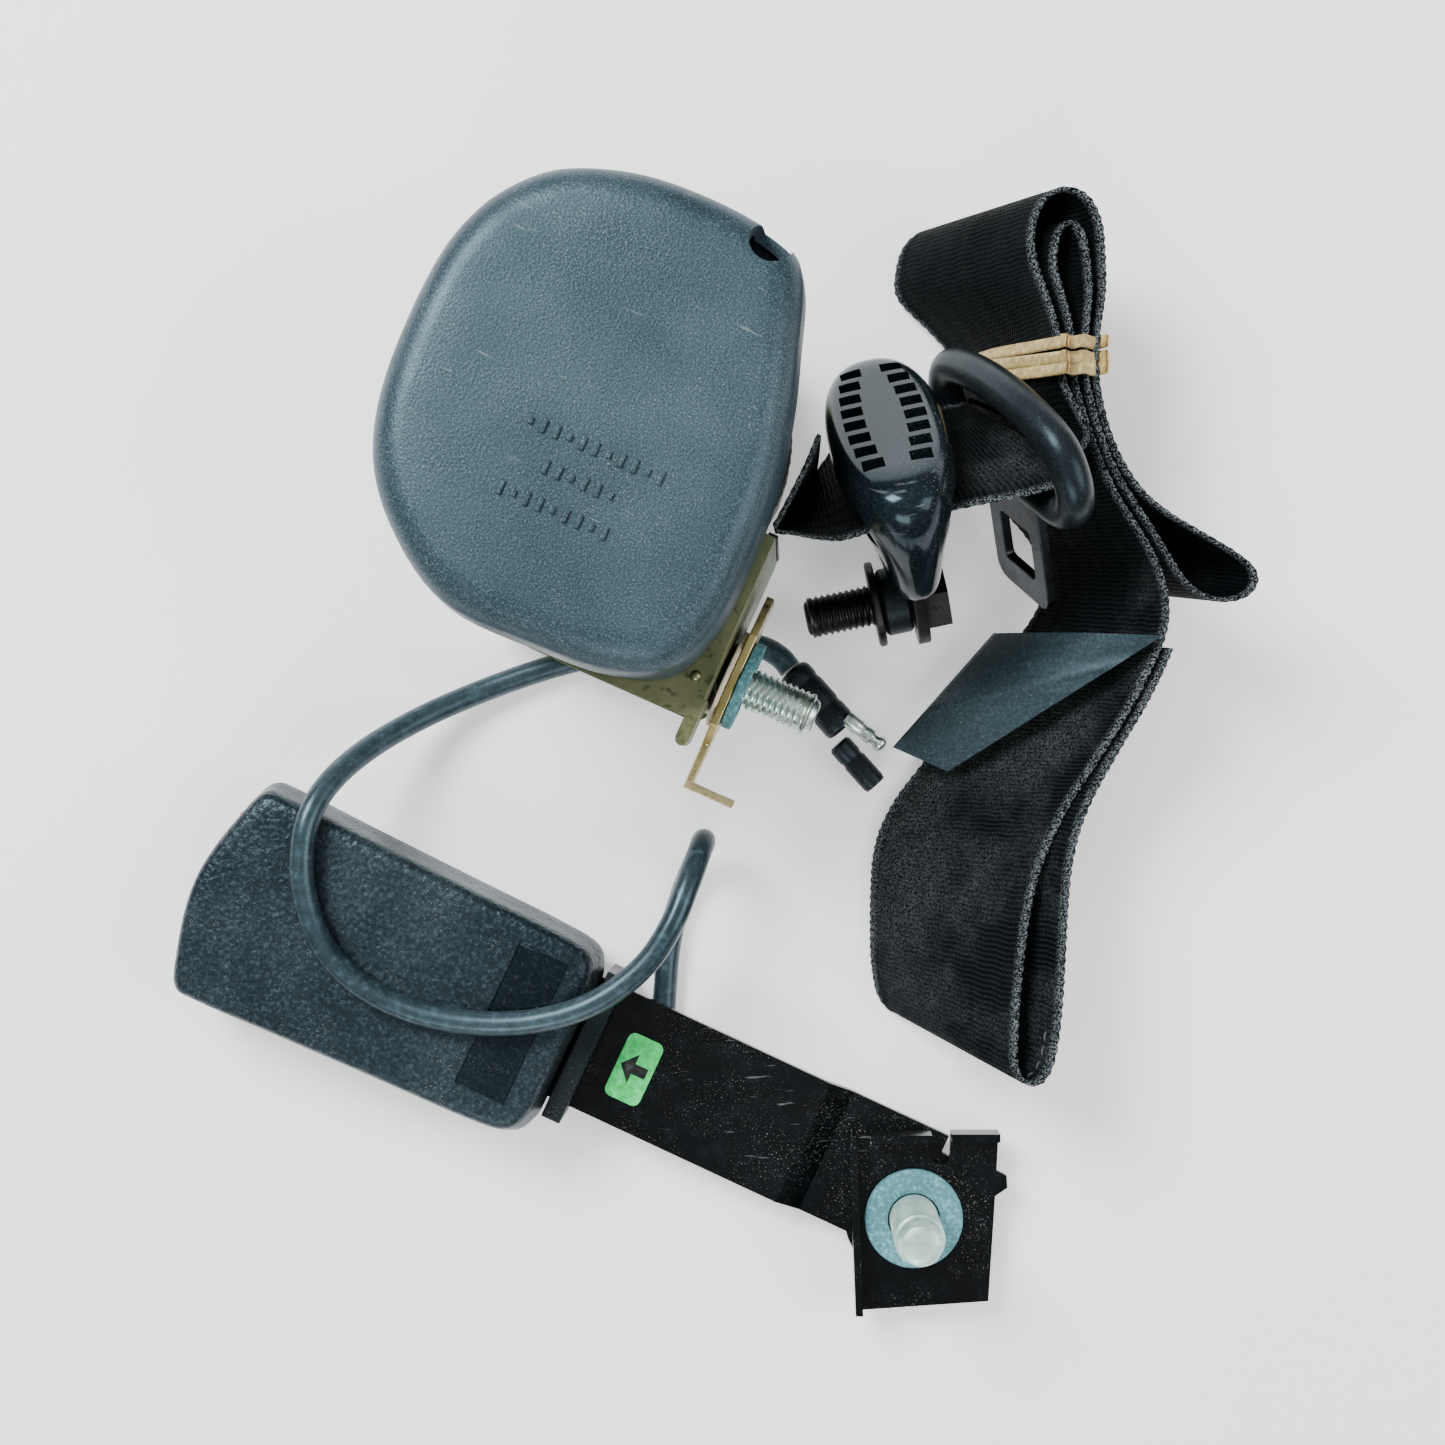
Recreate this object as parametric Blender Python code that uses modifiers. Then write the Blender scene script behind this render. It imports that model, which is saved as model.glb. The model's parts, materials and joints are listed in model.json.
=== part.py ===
"""Three-point seat-belt set for one car seat: inertia-reel retractor, folded webbing with its
pillar guide loop and tongue, and the buckle on its steel stalk with a switch lead.

The set lies on a table. Lengths here are millimetres, turned into metres by the helpers.
"""
import math

import bmesh
import bpy
from mathutils import Matrix, Vector

MM = 0.001
GAP = 0.3                      # clearance between pieces that touch
ROUND = 32                     # sides of a large round piece

# Webbing
WEB_WIDTH = 47.0
WEB_THICK = 1.1

# Retractor, standing on its spring cover with the spool axis upright
REEL_ORIGIN = (-21.3, 87.1)
REEL_TURN = -24.0
SPOOL = (8.0, -4.0)            # spool axis in the retractor's own plan
LOWER_PLATE = (14.3, 16.3)
UPPER_PLATE = (65.7, 67.7)
COVER_RIM, COVER_TOP = 68.0, 88.0
COVER_WALL = 2.2
ROLL_RADIUS = 35.5
CORE_RADIUS = 11.0
SHAFT_RADIUS = 5.0
BACK_PLATE = (46.8, 48.8)      # the frame's back plate, along the retractor's x
BOLT_Y, BOLT_Z = -49.0, 41.0   # axis of the retractor's mounting bolt
STUD_RADIUS = 5.0
STUD_TIP = 72.5

# Pillar guide loop: origin at its slot, X along the slot, Y towards the bolt, Z along the webbing
GUIDE_ORIGIN = (43.0, 71.0, 36.0)
GUIDE_SLOT_AXIS = (0.098, -0.602, 0.791)
GUIDE_WEB_AXIS = (0.975, 0.21, 0.03)
GUIDE_HOLE_Y = 36.0

# Tongue: origin at its slot, X along the slot, Y towards the blade's tip, Z along the webbing
TONGUE_ORIGIN = (69.5, 76.4, 36.5)
TONGUE_SLOT_AXIS = (0.42, -0.52, 0.744)
TONGUE_WEB_AXIS = (0.887, 0.409, -0.215)
BLADE_HALF, BLADE_THICK, BLADE_TIP = 12.0, 2.5, 42.0

# Buckle and stalk, lying flat: X runs from the mouth to the anchor
BUCKLE_ORIGIN = (-83.5, -42.4)
BUCKLE_TURN = -25.0
SHELL_WALL = 2.2
SHELL_SPLIT = (13.9, 14.2)     # top of the lower shell, rim of the upper shell
BUCKLE_TOP = 27.2
STRAP_HALF, STRAP_THICK = 16.0, 2.5
STRAP_Y = 1.5
STRAP_Z, STRAP_END_Z = 8.3, 3.9
ANCHOR = (49.5, -108.7)        # anchor bolt axis in world plan
ANCHOR_STUD_RADIUS = 6.0
ANCHOR_TIP_Z = 38.0

LEAD_RADIUS = 2.9
# Centreline of the switch lead, from the buckle's neck to the connector sleeve
LEAD_ROUTE = [
    (-29.2, -69.9, 4.4), (-24.3, -71.5, 4.4), (-18.8, -70.6, 4.2), (-14.6, -66.8, 3.8),
    (-12.4, -60.9, 3.4), (-11.8, -53.8, 3.2), (-11.2, -45.8, 3.2), (-9.8, -37.4, 3.2),
    (-7.4, -29.4, 3.8), (-4.6, -22.6, 6.8), (-2.2, -17.6, 12.4), (-1.6, -16.0, 18.6),
    (-2.6, -19.4, 25.2), (-5.0, -26.4, 29.8), (-8.2, -34.6, 31.6), (-13.4, -43.0, 31.8),
    (-20.8, -49.8, 31.6), (-30.0, -54.9, 31.4), (-41.4, -57.8, 31.2), (-53.2, -58.2, 31.0),
    (-65.0, -56.5, 31.0), (-75.8, -52.6, 31.0), (-84.9, -46.4, 31.0), (-91.0, -38.4, 31.0),
    (-94.2, -29.0, 31.0), (-95.0, -19.4, 31.2), (-93.4, -10.0, 30.8), (-89.2, -1.6, 26.6),
    (-81.8, 6.4, 18.4), (-70.6, 14.0, 10.0), (-56.8, 20.6, 4.8), (-42.0, 26.0, 3.2),
    (-27.0, 29.8, 3.2), (-12.0, 31.6, 3.2), (1.6, 32.4, 3.6), (11.4, 31.6, 4.8), (16.6, 29.0, 5.8), (19.3, 25.9, 6.2),
]
SLEEVE_START, SLEEVE_END = (19.7, 25.44, 6.3), (32.2, 11.2, 8.0)
BULLET_START, BULLET_END = (35.0, 12.3, 10.7), (42.2, 6.6, 11.0)
SOCKET_START, SOCKET_END = (31.2, 7.6, 5.4), (40.4, -2.6, 4.6)

# Webbing stations: the upper selvedge (x, y), then the vector from the lower to the upper
# selvedge. The lower selvedge lies 2.5 mm above the table unless a fourth value lifts it.
LAY_Z = 2.5
STRAND = [
    # centre (x, y, z) and the direction of the width, from the reel to the tongue
    ((25.4, 73.6, 41.5), (0.0, 0.0, 1.0)), ((22.9, 67.6, 41.5), (0.0, 0.0, 1.0)),
    ((20.0, 62.4, 41.4), (0.0, -0.03, 1.0)), ((16.9, 57.6, 41.2), (0.0, -0.08, 1.0)),
    ((15.8, 56.2, 41.1), (0.0, -0.1, 1.0)), ((16.3, 55.5, 41.0), (0.0, -0.12, 1.0)),
    ((19.0, 56.6, 40.6), (0.01, -0.18, 0.98)), ((23.6, 59.6, 39.4), (0.04, -0.34, 0.93)),
    ((29.0, 63.4, 37.8), (0.07, -0.5, 0.86)), ((35.4, 68.0, 36.4), (0.1, -0.59, 0.8)),
    ((43.0, 71.0, 36.0), (0.098, -0.602, 0.791)), ((50.4, 72.6, 36.1), (0.15, -0.6, 0.785)),
    ((57.0, 73.9, 36.4), (0.25, -0.58, 0.775)), ((63.4, 75.0, 36.6), (0.36, -0.55, 0.755)),
    ((69.5, 76.4, 36.5), (0.42, -0.52, 0.744)),
]
TOP_LEAN = (29.0, 0.0, 36.0)
NECK_LEAN = (23.5, 0.0, 40.7)    # between the top loop and the rubber band
BAND_LEAN = (18.0, 0.0, 43.4)    # where the rubber band pinches the layers upright
FOLDS = [
    # the strip leaves the tongue, climbs the left side, rounds the outer top loop, comes down
    # the right side, rounds the side loop, climbs inside and rounds the inner top loop
    ((84.6, 72.6), (22.0, -18.0, 36.5), 15.0), ((86.4, 76.2), (22.5, -13.0, 39.0), 9.5),
    ((84.8, 81.6), (21.5, -8.0, 41.0), 5.4), ((82.0, 87.4), (19.5, -3.0, 42.8), 3.2),
    ((80.4, 93.0), BAND_LEAN), ((79.7, 101.0), BAND_LEAN), ((77.5, 110.0), NECK_LEAN),
    ((75.7, 118.0), TOP_LEAN), ((75.2, 125.0), TOP_LEAN), ((77.4, 131.4), TOP_LEAN),
    ((82.2, 134.6), TOP_LEAN), ((87.4, 133.0), TOP_LEAN), ((90.6, 127.0), TOP_LEAN),
    ((91.4, 119.0), TOP_LEAN), ((90.8, 110.0), NECK_LEAN), ((89.2, 101.0), BAND_LEAN),
    ((88.6, 93.0), BAND_LEAN), ((89.9, 84.4), (20.0, -1.0, 42.5)), ((92.4, 76.6), (22.5, -2.0, 41.2)),
    ((95.9, 69.6), (23.4, -3.0, 40.8)), ((100.2, 63.8), (23.0, -4.0, 41.0)),
    ((105.4, 59.6), (23.4, -5.0, 40.6)), ((110.8, 56.4), (24.2, -6.0, 40.0)),
    ((116.2, 53.4), (24.6, -6.6, 39.4)), ((121.2, 50.4), (25.0, -7.0, 39.0)),
    ((125.0, 47.2), (25.0, -7.0, 39.0)), ((125.8, 43.8), (25.0, -7.0, 39.0)),
    ((123.4, 40.8), (25.0, -7.0, 39.0)), ((118.6, 39.8), (25.0, -7.0, 39.0)),
    ((113.2, 41.2), (24.4, -6.6, 39.6)), ((108.6, 45.0), (23.0, -6.0, 40.6)),
    ((104.9, 50.6), (21.6, -5.0, 41.6)), ((101.0, 56.8), (21.6, -4.0, 41.6)),
    ((97.2, 62.8), (22.4, -3.0, 41.2)), ((93.4, 69.4), (23.0, -2.2, 41.0)),
    ((90.4, 76.8), (22.6, -1.4, 41.2)), ((87.7, 85.0), (20.2, -0.6, 42.5)),
    ((86.1, 93.0), BAND_LEAN), ((86.5, 101.0), BAND_LEAN), ((87.7, 110.0), NECK_LEAN),
    ((88.0, 117.4), TOP_LEAN), ((86.8, 124.0), TOP_LEAN), ((84.2, 127.0), TOP_LEAN),
    ((81.3, 124.4), TOP_LEAN), ((80.2, 117.6), TOP_LEAN), ((81.2, 110.0), NECK_LEAN),
    ((82.9, 101.0), BAND_LEAN), ((83.4, 93.0), BAND_LEAN),
]
END_LOOP = [
    # the inner layer comes down, opens into the empty sewn loop and returns beside itself
    ((83.5, 91.6), BAND_LEAN), ((85.2, 84.8), (20.4, -0.8, 42.5)), ((88.2, 76.4), (22.8, -1.6, 41.2)),
    ((91.0, 69.4), (23.4, -2.4, 40.8)), ((94.2, 62.6), (22.0, -3.2, 41.4)),
    ((98.0, 56.4), (21.0, -4.0, 42.0)), ((101.6, 50.2), (21.0, -4.6, 42.0)),
    ((104.2, 44.0), (22.0, -5.0, 41.2)), ((105.4, 37.2), (24.0, -5.0, 40.0)),
    ((104.6, 30.6), (27.0, -5.0, 38.0)), ((101.8, 23.4), (30.5, -4.0, 35.5)),
    ((98.4, 15.8), (33.5, -3.0, 32.8)), ((94.2, 8.2), (36.2, -2.0, 30.0)),
    ((89.8, 0.8), (38.2, -1.0, 27.6)), ((85.2, -6.6), (39.2, -1.0, 26.0)),
    ((81.2, -14.6), (39.2, -1.6, 26.0)), ((77.4, -23.0), (37.4, -2.6, 28.4)),
    ((75.0, -32.0), (35.6, -4.0, 30.6)), ((73.4, -42.0), (34.2, -5.6, 32.0)),
    ((72.3, -52.0), (33.0, -7.6, 32.8)), ((71.7, -60.6), (31.6, -9.8, 33.4)),
    ((71.6, -67.0), (30.4, -12.0, 33.8)), ((73.4, -71.0), (29.8, -13.0, 34.0)),
    ((76.8, -71.6), (29.8, -13.0, 34.0)), ((79.6, -68.0), (30.4, -12.0, 33.8)),
    ((81.2, -61.0), (31.4, -9.8, 33.4)), ((82.2, -52.0), (32.6, -7.8, 33.0)),
    ((82.9, -42.0), (33.8, -5.8, 32.4)), ((83.6, -32.0), (35.0, -4.2, 31.2)),
    ((84.6, -23.0), (36.4, -2.8, 29.8)), ((86.6, -14.4), (37.8, -1.8, 28.2)),
    ((89.7, -6.4), (38.2, -1.2, 27.6)), ((93.5, 1.0), (37.6, -1.4, 28.6)),
    ((97.4, 8.2), (36.2, -2.0, 30.0)), ((101.2, 15.4), (33.6, -3.0, 32.8)),
    ((104.5, 22.6), (30.8, -4.0, 35.2)), ((106.8, 28.8), (28.0, -4.6, 37.2)),
]


# ---------------------------------------------------------------- scene helpers
def clear_scene():
    for obj in list(bpy.data.objects):
        bpy.data.objects.remove(obj)


def new_collection(name):
    group = bpy.data.collections.new(name)
    bpy.context.scene.collection.children.link(group)
    return group


def paint(name, rgb, roughness, metallic=0.0):
    mat = bpy.data.materials.new(name)
    mat.use_nodes = True
    shader = mat.node_tree.nodes["Principled BSDF"]
    shader.inputs["Base Color"].default_value = (*rgb, 1.0)
    shader.inputs["Roughness"].default_value = roughness
    shader.inputs["Metallic"].default_value = metallic
    return mat


def place(obj, parent, at=(0, 0, 0), turn=(0, 0, 0)):
    obj.parent = parent
    obj.location = Vector(at) * MM
    obj.rotation_euler = [math.radians(angle) for angle in turn]
    return obj


def part(name, mesh, mat, parent=None, at=(0, 0, 0), turn=(0, 0, 0)):
    obj = bpy.data.objects.new(name, mesh)
    PARTS.objects.link(obj)
    obj.data.materials.append(mat)
    return place(obj, parent, at, turn)


def helper(name, mesh, parent=None, at=(0, 0, 0), turn=(0, 0, 0)):
    obj = bpy.data.objects.new(name, mesh)
    CUTTERS.objects.link(obj)
    obj.hide_render = True
    obj.display_type = "WIRE"
    return place(obj, parent, at, turn)


def boolean(obj, other, operation="DIFFERENCE"):
    modifier = obj.modifiers.new(f"{operation.lower()}_{other.name}", "BOOLEAN")
    modifier.operation = operation
    modifier.object = other
    modifier.solver = "EXACT"


def cut(obj, mesh, label, at=(0, 0, 0), turn=(0, 0, 0)):
    boolean(obj, helper(f"{obj.name}_{label}", mesh, obj.parent, at, turn))


def join(obj, mesh, label, at=(0, 0, 0), turn=(0, 0, 0)):
    boolean(obj, helper(f"{obj.name}_{label}", mesh, obj.parent, at, turn), "UNION")


def plan_empty(name, origin, degrees):
    empty = bpy.data.objects.new(name, None)
    PARTS.objects.link(empty)
    return place(empty, None, (*origin, 0), (0, 0, degrees))


def axes_empty(name, origin, x_axis, z_hint):
    """An empty whose X is x_axis and whose Z is as near z_hint as a right angle allows."""
    x = Vector(x_axis).normalized()
    z = Vector(z_hint) - x * x.dot(Vector(z_hint))
    z.normalize()
    rotation = Matrix((x, z.cross(x), z)).transposed().to_4x4()
    empty = bpy.data.objects.new(name, None)
    PARTS.objects.link(empty)
    empty.matrix_world = Matrix.Translation(Vector(origin) * MM) @ rotation
    return empty


# ---------------------------------------------------------------- shape helpers
def box(low, high):
    mesh = bpy.data.meshes.new("box")
    bm = bmesh.new()
    low, high = Vector(low) * MM, Vector(high) * MM
    size = high - low
    matrix = Matrix.Translation((low + high) / 2) @ Matrix.Diagonal((*size, 1))
    bmesh.ops.create_cube(bm, size=1, matrix=matrix)
    bm.to_mesh(mesh)
    bm.free()
    return mesh


def cylinder(radius, low, high, sides=ROUND, top_radius=None):
    mesh = bpy.data.meshes.new("cylinder")
    bm = bmesh.new()
    top = radius if top_radius is None else top_radius
    bmesh.ops.create_cone(bm, cap_ends=True, segments=sides, radius1=radius * MM,
                          radius2=top * MM, depth=(high - low) * MM,
                          matrix=Matrix.Translation((0, 0, (high + low) / 2 * MM)))
    bm.to_mesh(mesh)
    bm.free()
    return mesh


def ball(radius):
    mesh = bpy.data.meshes.new("ball")
    bm = bmesh.new()
    bmesh.ops.create_uvsphere(bm, u_segments=16, v_segments=10, radius=radius * MM)
    bm.to_mesh(mesh)
    bm.free()
    return mesh


def from_curve(curve):
    """The curve's mesh, with its caps welded on."""
    temporary = bpy.data.objects.new("temporary", curve)
    bpy.context.scene.collection.objects.link(temporary)
    graph = bpy.context.evaluated_depsgraph_get()
    mesh = bpy.data.meshes.new_from_object(temporary.evaluated_get(graph))
    bpy.data.objects.remove(temporary)
    bm = bmesh.new()
    bm.from_mesh(mesh)
    bmesh.ops.remove_doubles(bm, verts=bm.verts, dist=0.00001)
    bmesh.ops.recalc_face_normals(bm, faces=bm.faces)
    bm.to_mesh(mesh)
    bm.free()
    return mesh


def prism(outlines, low, high):
    """A flat outline, with any holes after it, standing from low to high."""
    curve = bpy.data.curves.new("outline", "CURVE")
    curve.dimensions = "2D"
    curve.fill_mode = "BOTH"
    curve.extrude = (high - low) / 2 * MM
    for outline in outlines:
        spline = curve.splines.new("POLY")
        spline.points.add(len(outline) - 1)
        for point, (x, y) in zip(spline.points, outline):
            point.co = (x * MM, y * MM, 0, 1)
        spline.use_cyclic_u = True
    mesh = from_curve(curve)
    mesh.transform(Matrix.Translation((0, 0, (high + low) / 2 * MM)))
    return mesh


def tube(points, radius, closed=False, resolution=2):
    curve = bpy.data.curves.new("tube", "CURVE")
    curve.dimensions = "3D"
    curve.bevel_depth = radius * MM
    curve.bevel_resolution = resolution
    curve.use_fill_caps = not closed
    spline = curve.splines.new("POLY")
    spline.points.add(len(points) - 1)
    for point, place_mm in zip(spline.points, points):
        point.co = (*(Vector(place_mm) * MM), 1)
    spline.use_cyclic_u = closed
    return from_curve(curve)


def turned(profile):
    """A closed profile of (radius, height), which the Screw modifier turns round Z."""
    mesh = bpy.data.meshes.new("profile")
    bm = bmesh.new()
    verts = [bm.verts.new((r * MM, 0, z * MM)) for r, z in profile]
    for first, second in zip(verts, verts[1:]):
        bm.edges.new((first, second))
    if profile[0][0] > 0:
        bm.edges.new((verts[-1], verts[0]))
    bm.to_mesh(mesh)
    bm.free()
    return mesh


def screw(obj, steps=ROUND):
    modifier = obj.modifiers.new("turn", "SCREW")
    modifier.steps = modifier.render_steps = steps
    modifier.use_merge_vertices = True
    modifier.merge_threshold = 0.00001
    return obj


def ring_profile(inner, outer, low, high):
    return [(outer, high), (outer, low), (inner, low), (inner, high)]


def solidify(obj, thickness, offset):
    modifier = obj.modifiers.new("wall", "SOLIDIFY")
    modifier.thickness = thickness * MM
    modifier.offset = offset
    modifier.use_even_offset = True


def catmull(a, b, c, d, t):
    return 0.5 * (2 * b + (c - a) * t + (2 * a - 5 * b + 4 * c - d) * t ** 2
                  + (3 * b - a - 3 * c + d) * t ** 3)


def smooth(points, steps, closed=False):
    """Catmull-Rom curve through the points, with this many steps between two of them."""
    vectors = [Vector(p) for p in points]
    count = len(vectors)
    last = count if closed else count - 1
    out = []
    for i in range(last):
        if closed:
            a, b, c, d = (vectors[(i + k) % count] for k in (-1, 0, 1, 2))
        else:
            a, b, c, d = (vectors[min(max(i + k, 0), count - 1)] for k in (-1, 0, 1, 2))
        out += [catmull(a, b, c, d, step / steps) for step in range(steps)]
    return out if closed else out + [vectors[-1]]


def arc(center, radius, start, end, steps):
    """Points round a centre, from start to end degrees."""
    angles = [math.radians(start + (end - start) * i / steps) for i in range(steps + 1)]
    return [(center[0] + radius * math.cos(a), center[1] + radius * math.sin(a)) for a in angles]


def inset(outline, distance):
    """Each point of a counter-clockwise outline moved inwards along its normal."""
    moved = []
    for i, point in enumerate(outline):
        along = (outline[(i + 1) % len(outline)] - outline[i - 1]).normalized()
        moved.append(point + Vector((-along.y, along.x)) * distance)
    return moved


def dome(outline, levels):
    """An open shell over an outline. Each level is (inset, height); the last one is filled."""
    mesh = bpy.data.meshes.new("dome")
    bm = bmesh.new()
    rings = []
    for distance, height in levels:
        ring = [bm.verts.new((p.x * MM, p.y * MM, height * MM)) for p in inset(outline, distance)]
        rings.append(ring)
    for low, high in zip(rings, rings[1:]):
        for i in range(len(low)):
            j = (i + 1) % len(low)
            bm.faces.new((low[i], low[j], high[j], high[i]))
    bm.faces.new(rings[-1])
    upward = levels[-1][1] > levels[0][1]
    if not upward:
        bmesh.ops.reverse_faces(bm, faces=bm.faces)
    bm.to_mesh(mesh)
    bm.free()
    return mesh


def ribbon(rows):
    """An open strip through rows of (lower point, upper point)."""
    mesh = bpy.data.meshes.new("ribbon")
    bm = bmesh.new()
    previous = None
    for lower, upper in rows:
        pair = [bm.verts.new(Vector(p) * MM) for p in (lower, upper)]
        if previous:
            bm.faces.new((previous[0], pair[0], pair[1], previous[1]))
        previous = pair
    bm.to_mesh(mesh)
    bm.free()
    return mesh


def coil(radius, length, turns, wire, per_turn=8):
    """A compression spring along Z."""
    count = int(turns * per_turn)
    points = []
    for i in range(count + 1):
        angle = 2 * math.pi * i / per_turn
        points.append((radius * math.cos(angle), radius * math.sin(angle), length * i / count))
    return tube(points, wire, resolution=1)


# ---------------------------------------------------------------- retractor
COVER_OUTLINE = [
    (-27.0, 29.5), (-35.0, 18.5), (-39.0, 3.0), (-38.8, -22.0), (-34.0, -39.0), (-23.5, -51.5),
    (-8.2, -60.4), (12.7, -60.8), (29.0, -59.4), (41.0, -53.8), (46.3, -41.0), (46.8, -24.3),
    (45.6, -8.4), (42.2, 7.0), (38.2, 19.5), (33.6, 32.0), (28.0, 37.4), (15.0, 39.9),
    (-3.0, 39.4), (-17.5, 35.4),
]


def frame_outline():
    """Side plate: broad over the spool, square at the mounting end."""
    return ([(-31.0, 14.0), (-33.0, -28.0), (-27.0, -46.0), (-12.0, -58.0), (10.0, -61.0)]
            + arc((44.8, -57.0), 4.0, -90, 0, 3)
            + [(48.8, -18.0), (38.0, -17.2), (36.0, 10.0), (27.0, 30.0), (4.0, 36.0),
               (-22.0, 33.0)])


def build_frame(reel):
    frame = part("retractor_frame", prism([frame_outline()], *UPPER_PLATE), CHROMATE, reel)
    join(frame, prism([frame_outline()], *LOWER_PLATE), "lower_plate")
    join(frame, box((BACK_PLATE[0], -58.0, LOWER_PLATE[0]), (BACK_PLATE[1], -18.0, UPPER_PLATE[1])),
         "back_plate")
    lug = [(46.4, -56.0)] + arc((47.9, -65.6), 1.5, 180, 360, 4) + [(49.4, -56.0)]
    join(frame, prism([lug], 55.0, UPPER_PLATE[1]), "lug")
    cut(frame, cylinder(SHAFT_RADIUS + 1, 10, 70), "shaft_bore", (*SPOOL, 0))
    cut(frame, cylinder(STUD_RADIUS + 0.6, 40, 55), "bolt_bore", (0, BOLT_Y, BOLT_Z), (0, 90, 0))
    return frame


def build_covers(reel):
    outline = smooth([Vector(p) for p in COVER_OUTLINE], 2, closed=True)
    levels = [(0.0, COVER_RIM), (0.0, COVER_RIM + 2), (0.7, 77.0), (1.6, 81.6), (3.4, 85.0), (6.2, 87.2), (9.4, COVER_TOP)]
    cover = part("mechanism_cover", dome(outline, levels), COVER_PLASTIC, reel)
    solidify(cover, COVER_WALL, -1)
    cut(cover, cylinder(4.6, COVER_RIM - 2, COVER_TOP + 2, 16), "clip_notch", (24.2, 36.2, 0))
    part("cover_clip", cylinder(2.4, COVER_RIM + 0.3, 79.0, 12), ZINC, reel, (23.2, 30.4, 0))
    profile = [(0.0, 2.2), (32.8, 2.2), (32.8, 14.0), (35.0, 14.0), (35.0, 1.6), (33.4, 0.0), (0.0, 0.0)]
    screw(part("spring_cover", turned(profile), BLACK, reel, (*SPOOL, 0)))


def build_spool(reel):
    at = (*SPOOL, 0)
    part("spool_shaft", cylinder(SHAFT_RADIUS, 3.4, 80.0, 24), ZINC, reel, at)
    screw(part("spool_core", turned(ring_profile(SHAFT_RADIUS + GAP, CORE_RADIUS, 17.2, 64.8)),
               GREY, reel, at))
    roll = ring_profile(CORE_RADIUS + GAP, ROLL_RADIUS, 18.0, 65.0)
    screw(part("webbing_roll", turned(roll), WEBBING, reel, at), 40)
    teeth = 14
    outline = []
    for i in range(teeth):
        angle = 2 * math.pi * i / teeth
        outline.append((20.0 * math.cos(angle), 20.0 * math.sin(angle)))
        outline.append((16.5 * math.cos(angle + 0.06), 16.5 * math.sin(angle + 0.06)))
    bore = arc((0, 0), SHAFT_RADIUS + GAP, 0, 345, 23)
    part("ratchet_wheel", prism([outline, bore], 69.0, 72.0), ZINC, reel, at)
    screw(part("spring_arbor", turned(ring_profile(SHAFT_RADIUS + GAP, 7.4, 3.4, 11.8)), GREY,
               reel, at), 24)
    rows = []
    turns, per_turn = 4.5, 20
    for i in range(int(turns * per_turn) + 1):
        angle = 2 * math.pi * i / per_turn
        radius = 8.6 + 22.0 * i / (turns * per_turn)
        x, y = radius * math.cos(angle), radius * math.sin(angle)
        rows.append(((x, y, 4.0), (x, y, 11.0)))
    solidify(part("return_spring", ribbon(rows), STEEL, reel, at), 0.6, 0)


def build_lock(reel):
    """The pawl beside the ratchet wheel, and the ball sensor whose lever lifts it."""
    pivot = (-18.0, -24.0)
    part("pawl_pin", cylinder(2.0, 68.1, 76.0, 12), ZINC, reel, (*pivot, 0))
    arm = arc((0, 0), 4.4, 60, 300, 6) + [(14.0, -3.6), (15.4, 0.6), (12.0, 2.6)]
    bore = arc((0, 0), 2.0 + GAP, 0, 330, 11)
    part("lock_pawl", prism([arm, bore], 69.0, 72.4), ZINC, reel, (*pivot, 0), (0, 0, -10))
    seat = (20.0, -42.0)
    housing = part("sensor_housing", box((-8, -7, 68.1), (8, 7, 76.0)), GREY, reel, (*seat, 0))
    join(housing, box((-17.0, -4.0, 68.1), (-7.0, 4.0, 70.0)), "foot", (*seat, 0))
    join(housing, box((-17.0, -4.0, 68.1), (-14.0, 4.0, 82.0)), "post", (*seat, 0))
    cut(housing, cylinder(5.6, 70.2, 80.0, 20), "ball_cup", (*seat, 0))
    part("sensor_ball", ball(4.2), ZINC, reel, (*seat, 74.8))
    lever = part("sensor_lever", prism([arc((0, 0), 4.8, 0, 345, 23)], 80.0, 81.6), GREY, reel,
                 (*seat, 0))
    join(lever, box((-13.6, -1.8, 80.0), (-3.0, 1.8, 81.6)), "tail", (*seat, 0))


def hex_bolt(name, mat, parent, at, turn, radius, reach, head_radius, head_high, sides=6):
    """A bolt along +Z whose head seats at 0 and whose chamfered tip is at reach."""
    profile = [(0.0, reach), (radius - 1.0, reach), (radius, reach - 1.2), (radius, -head_high / 2),
               (0.0, -head_high / 2)]
    bolt = screw(part(name, turned(profile), mat, parent, at, turn), 24)
    join(bolt, cylinder(head_radius, -head_high, 0, sides), "head", at, turn)
    return bolt


def washer(name, mat, parent, at, turn, inner, outer, low, high, steps=ROUND):
    return screw(part(name, turned(ring_profile(inner, outer, low, high)), mat, parent, at, turn),
                 steps)


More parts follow.
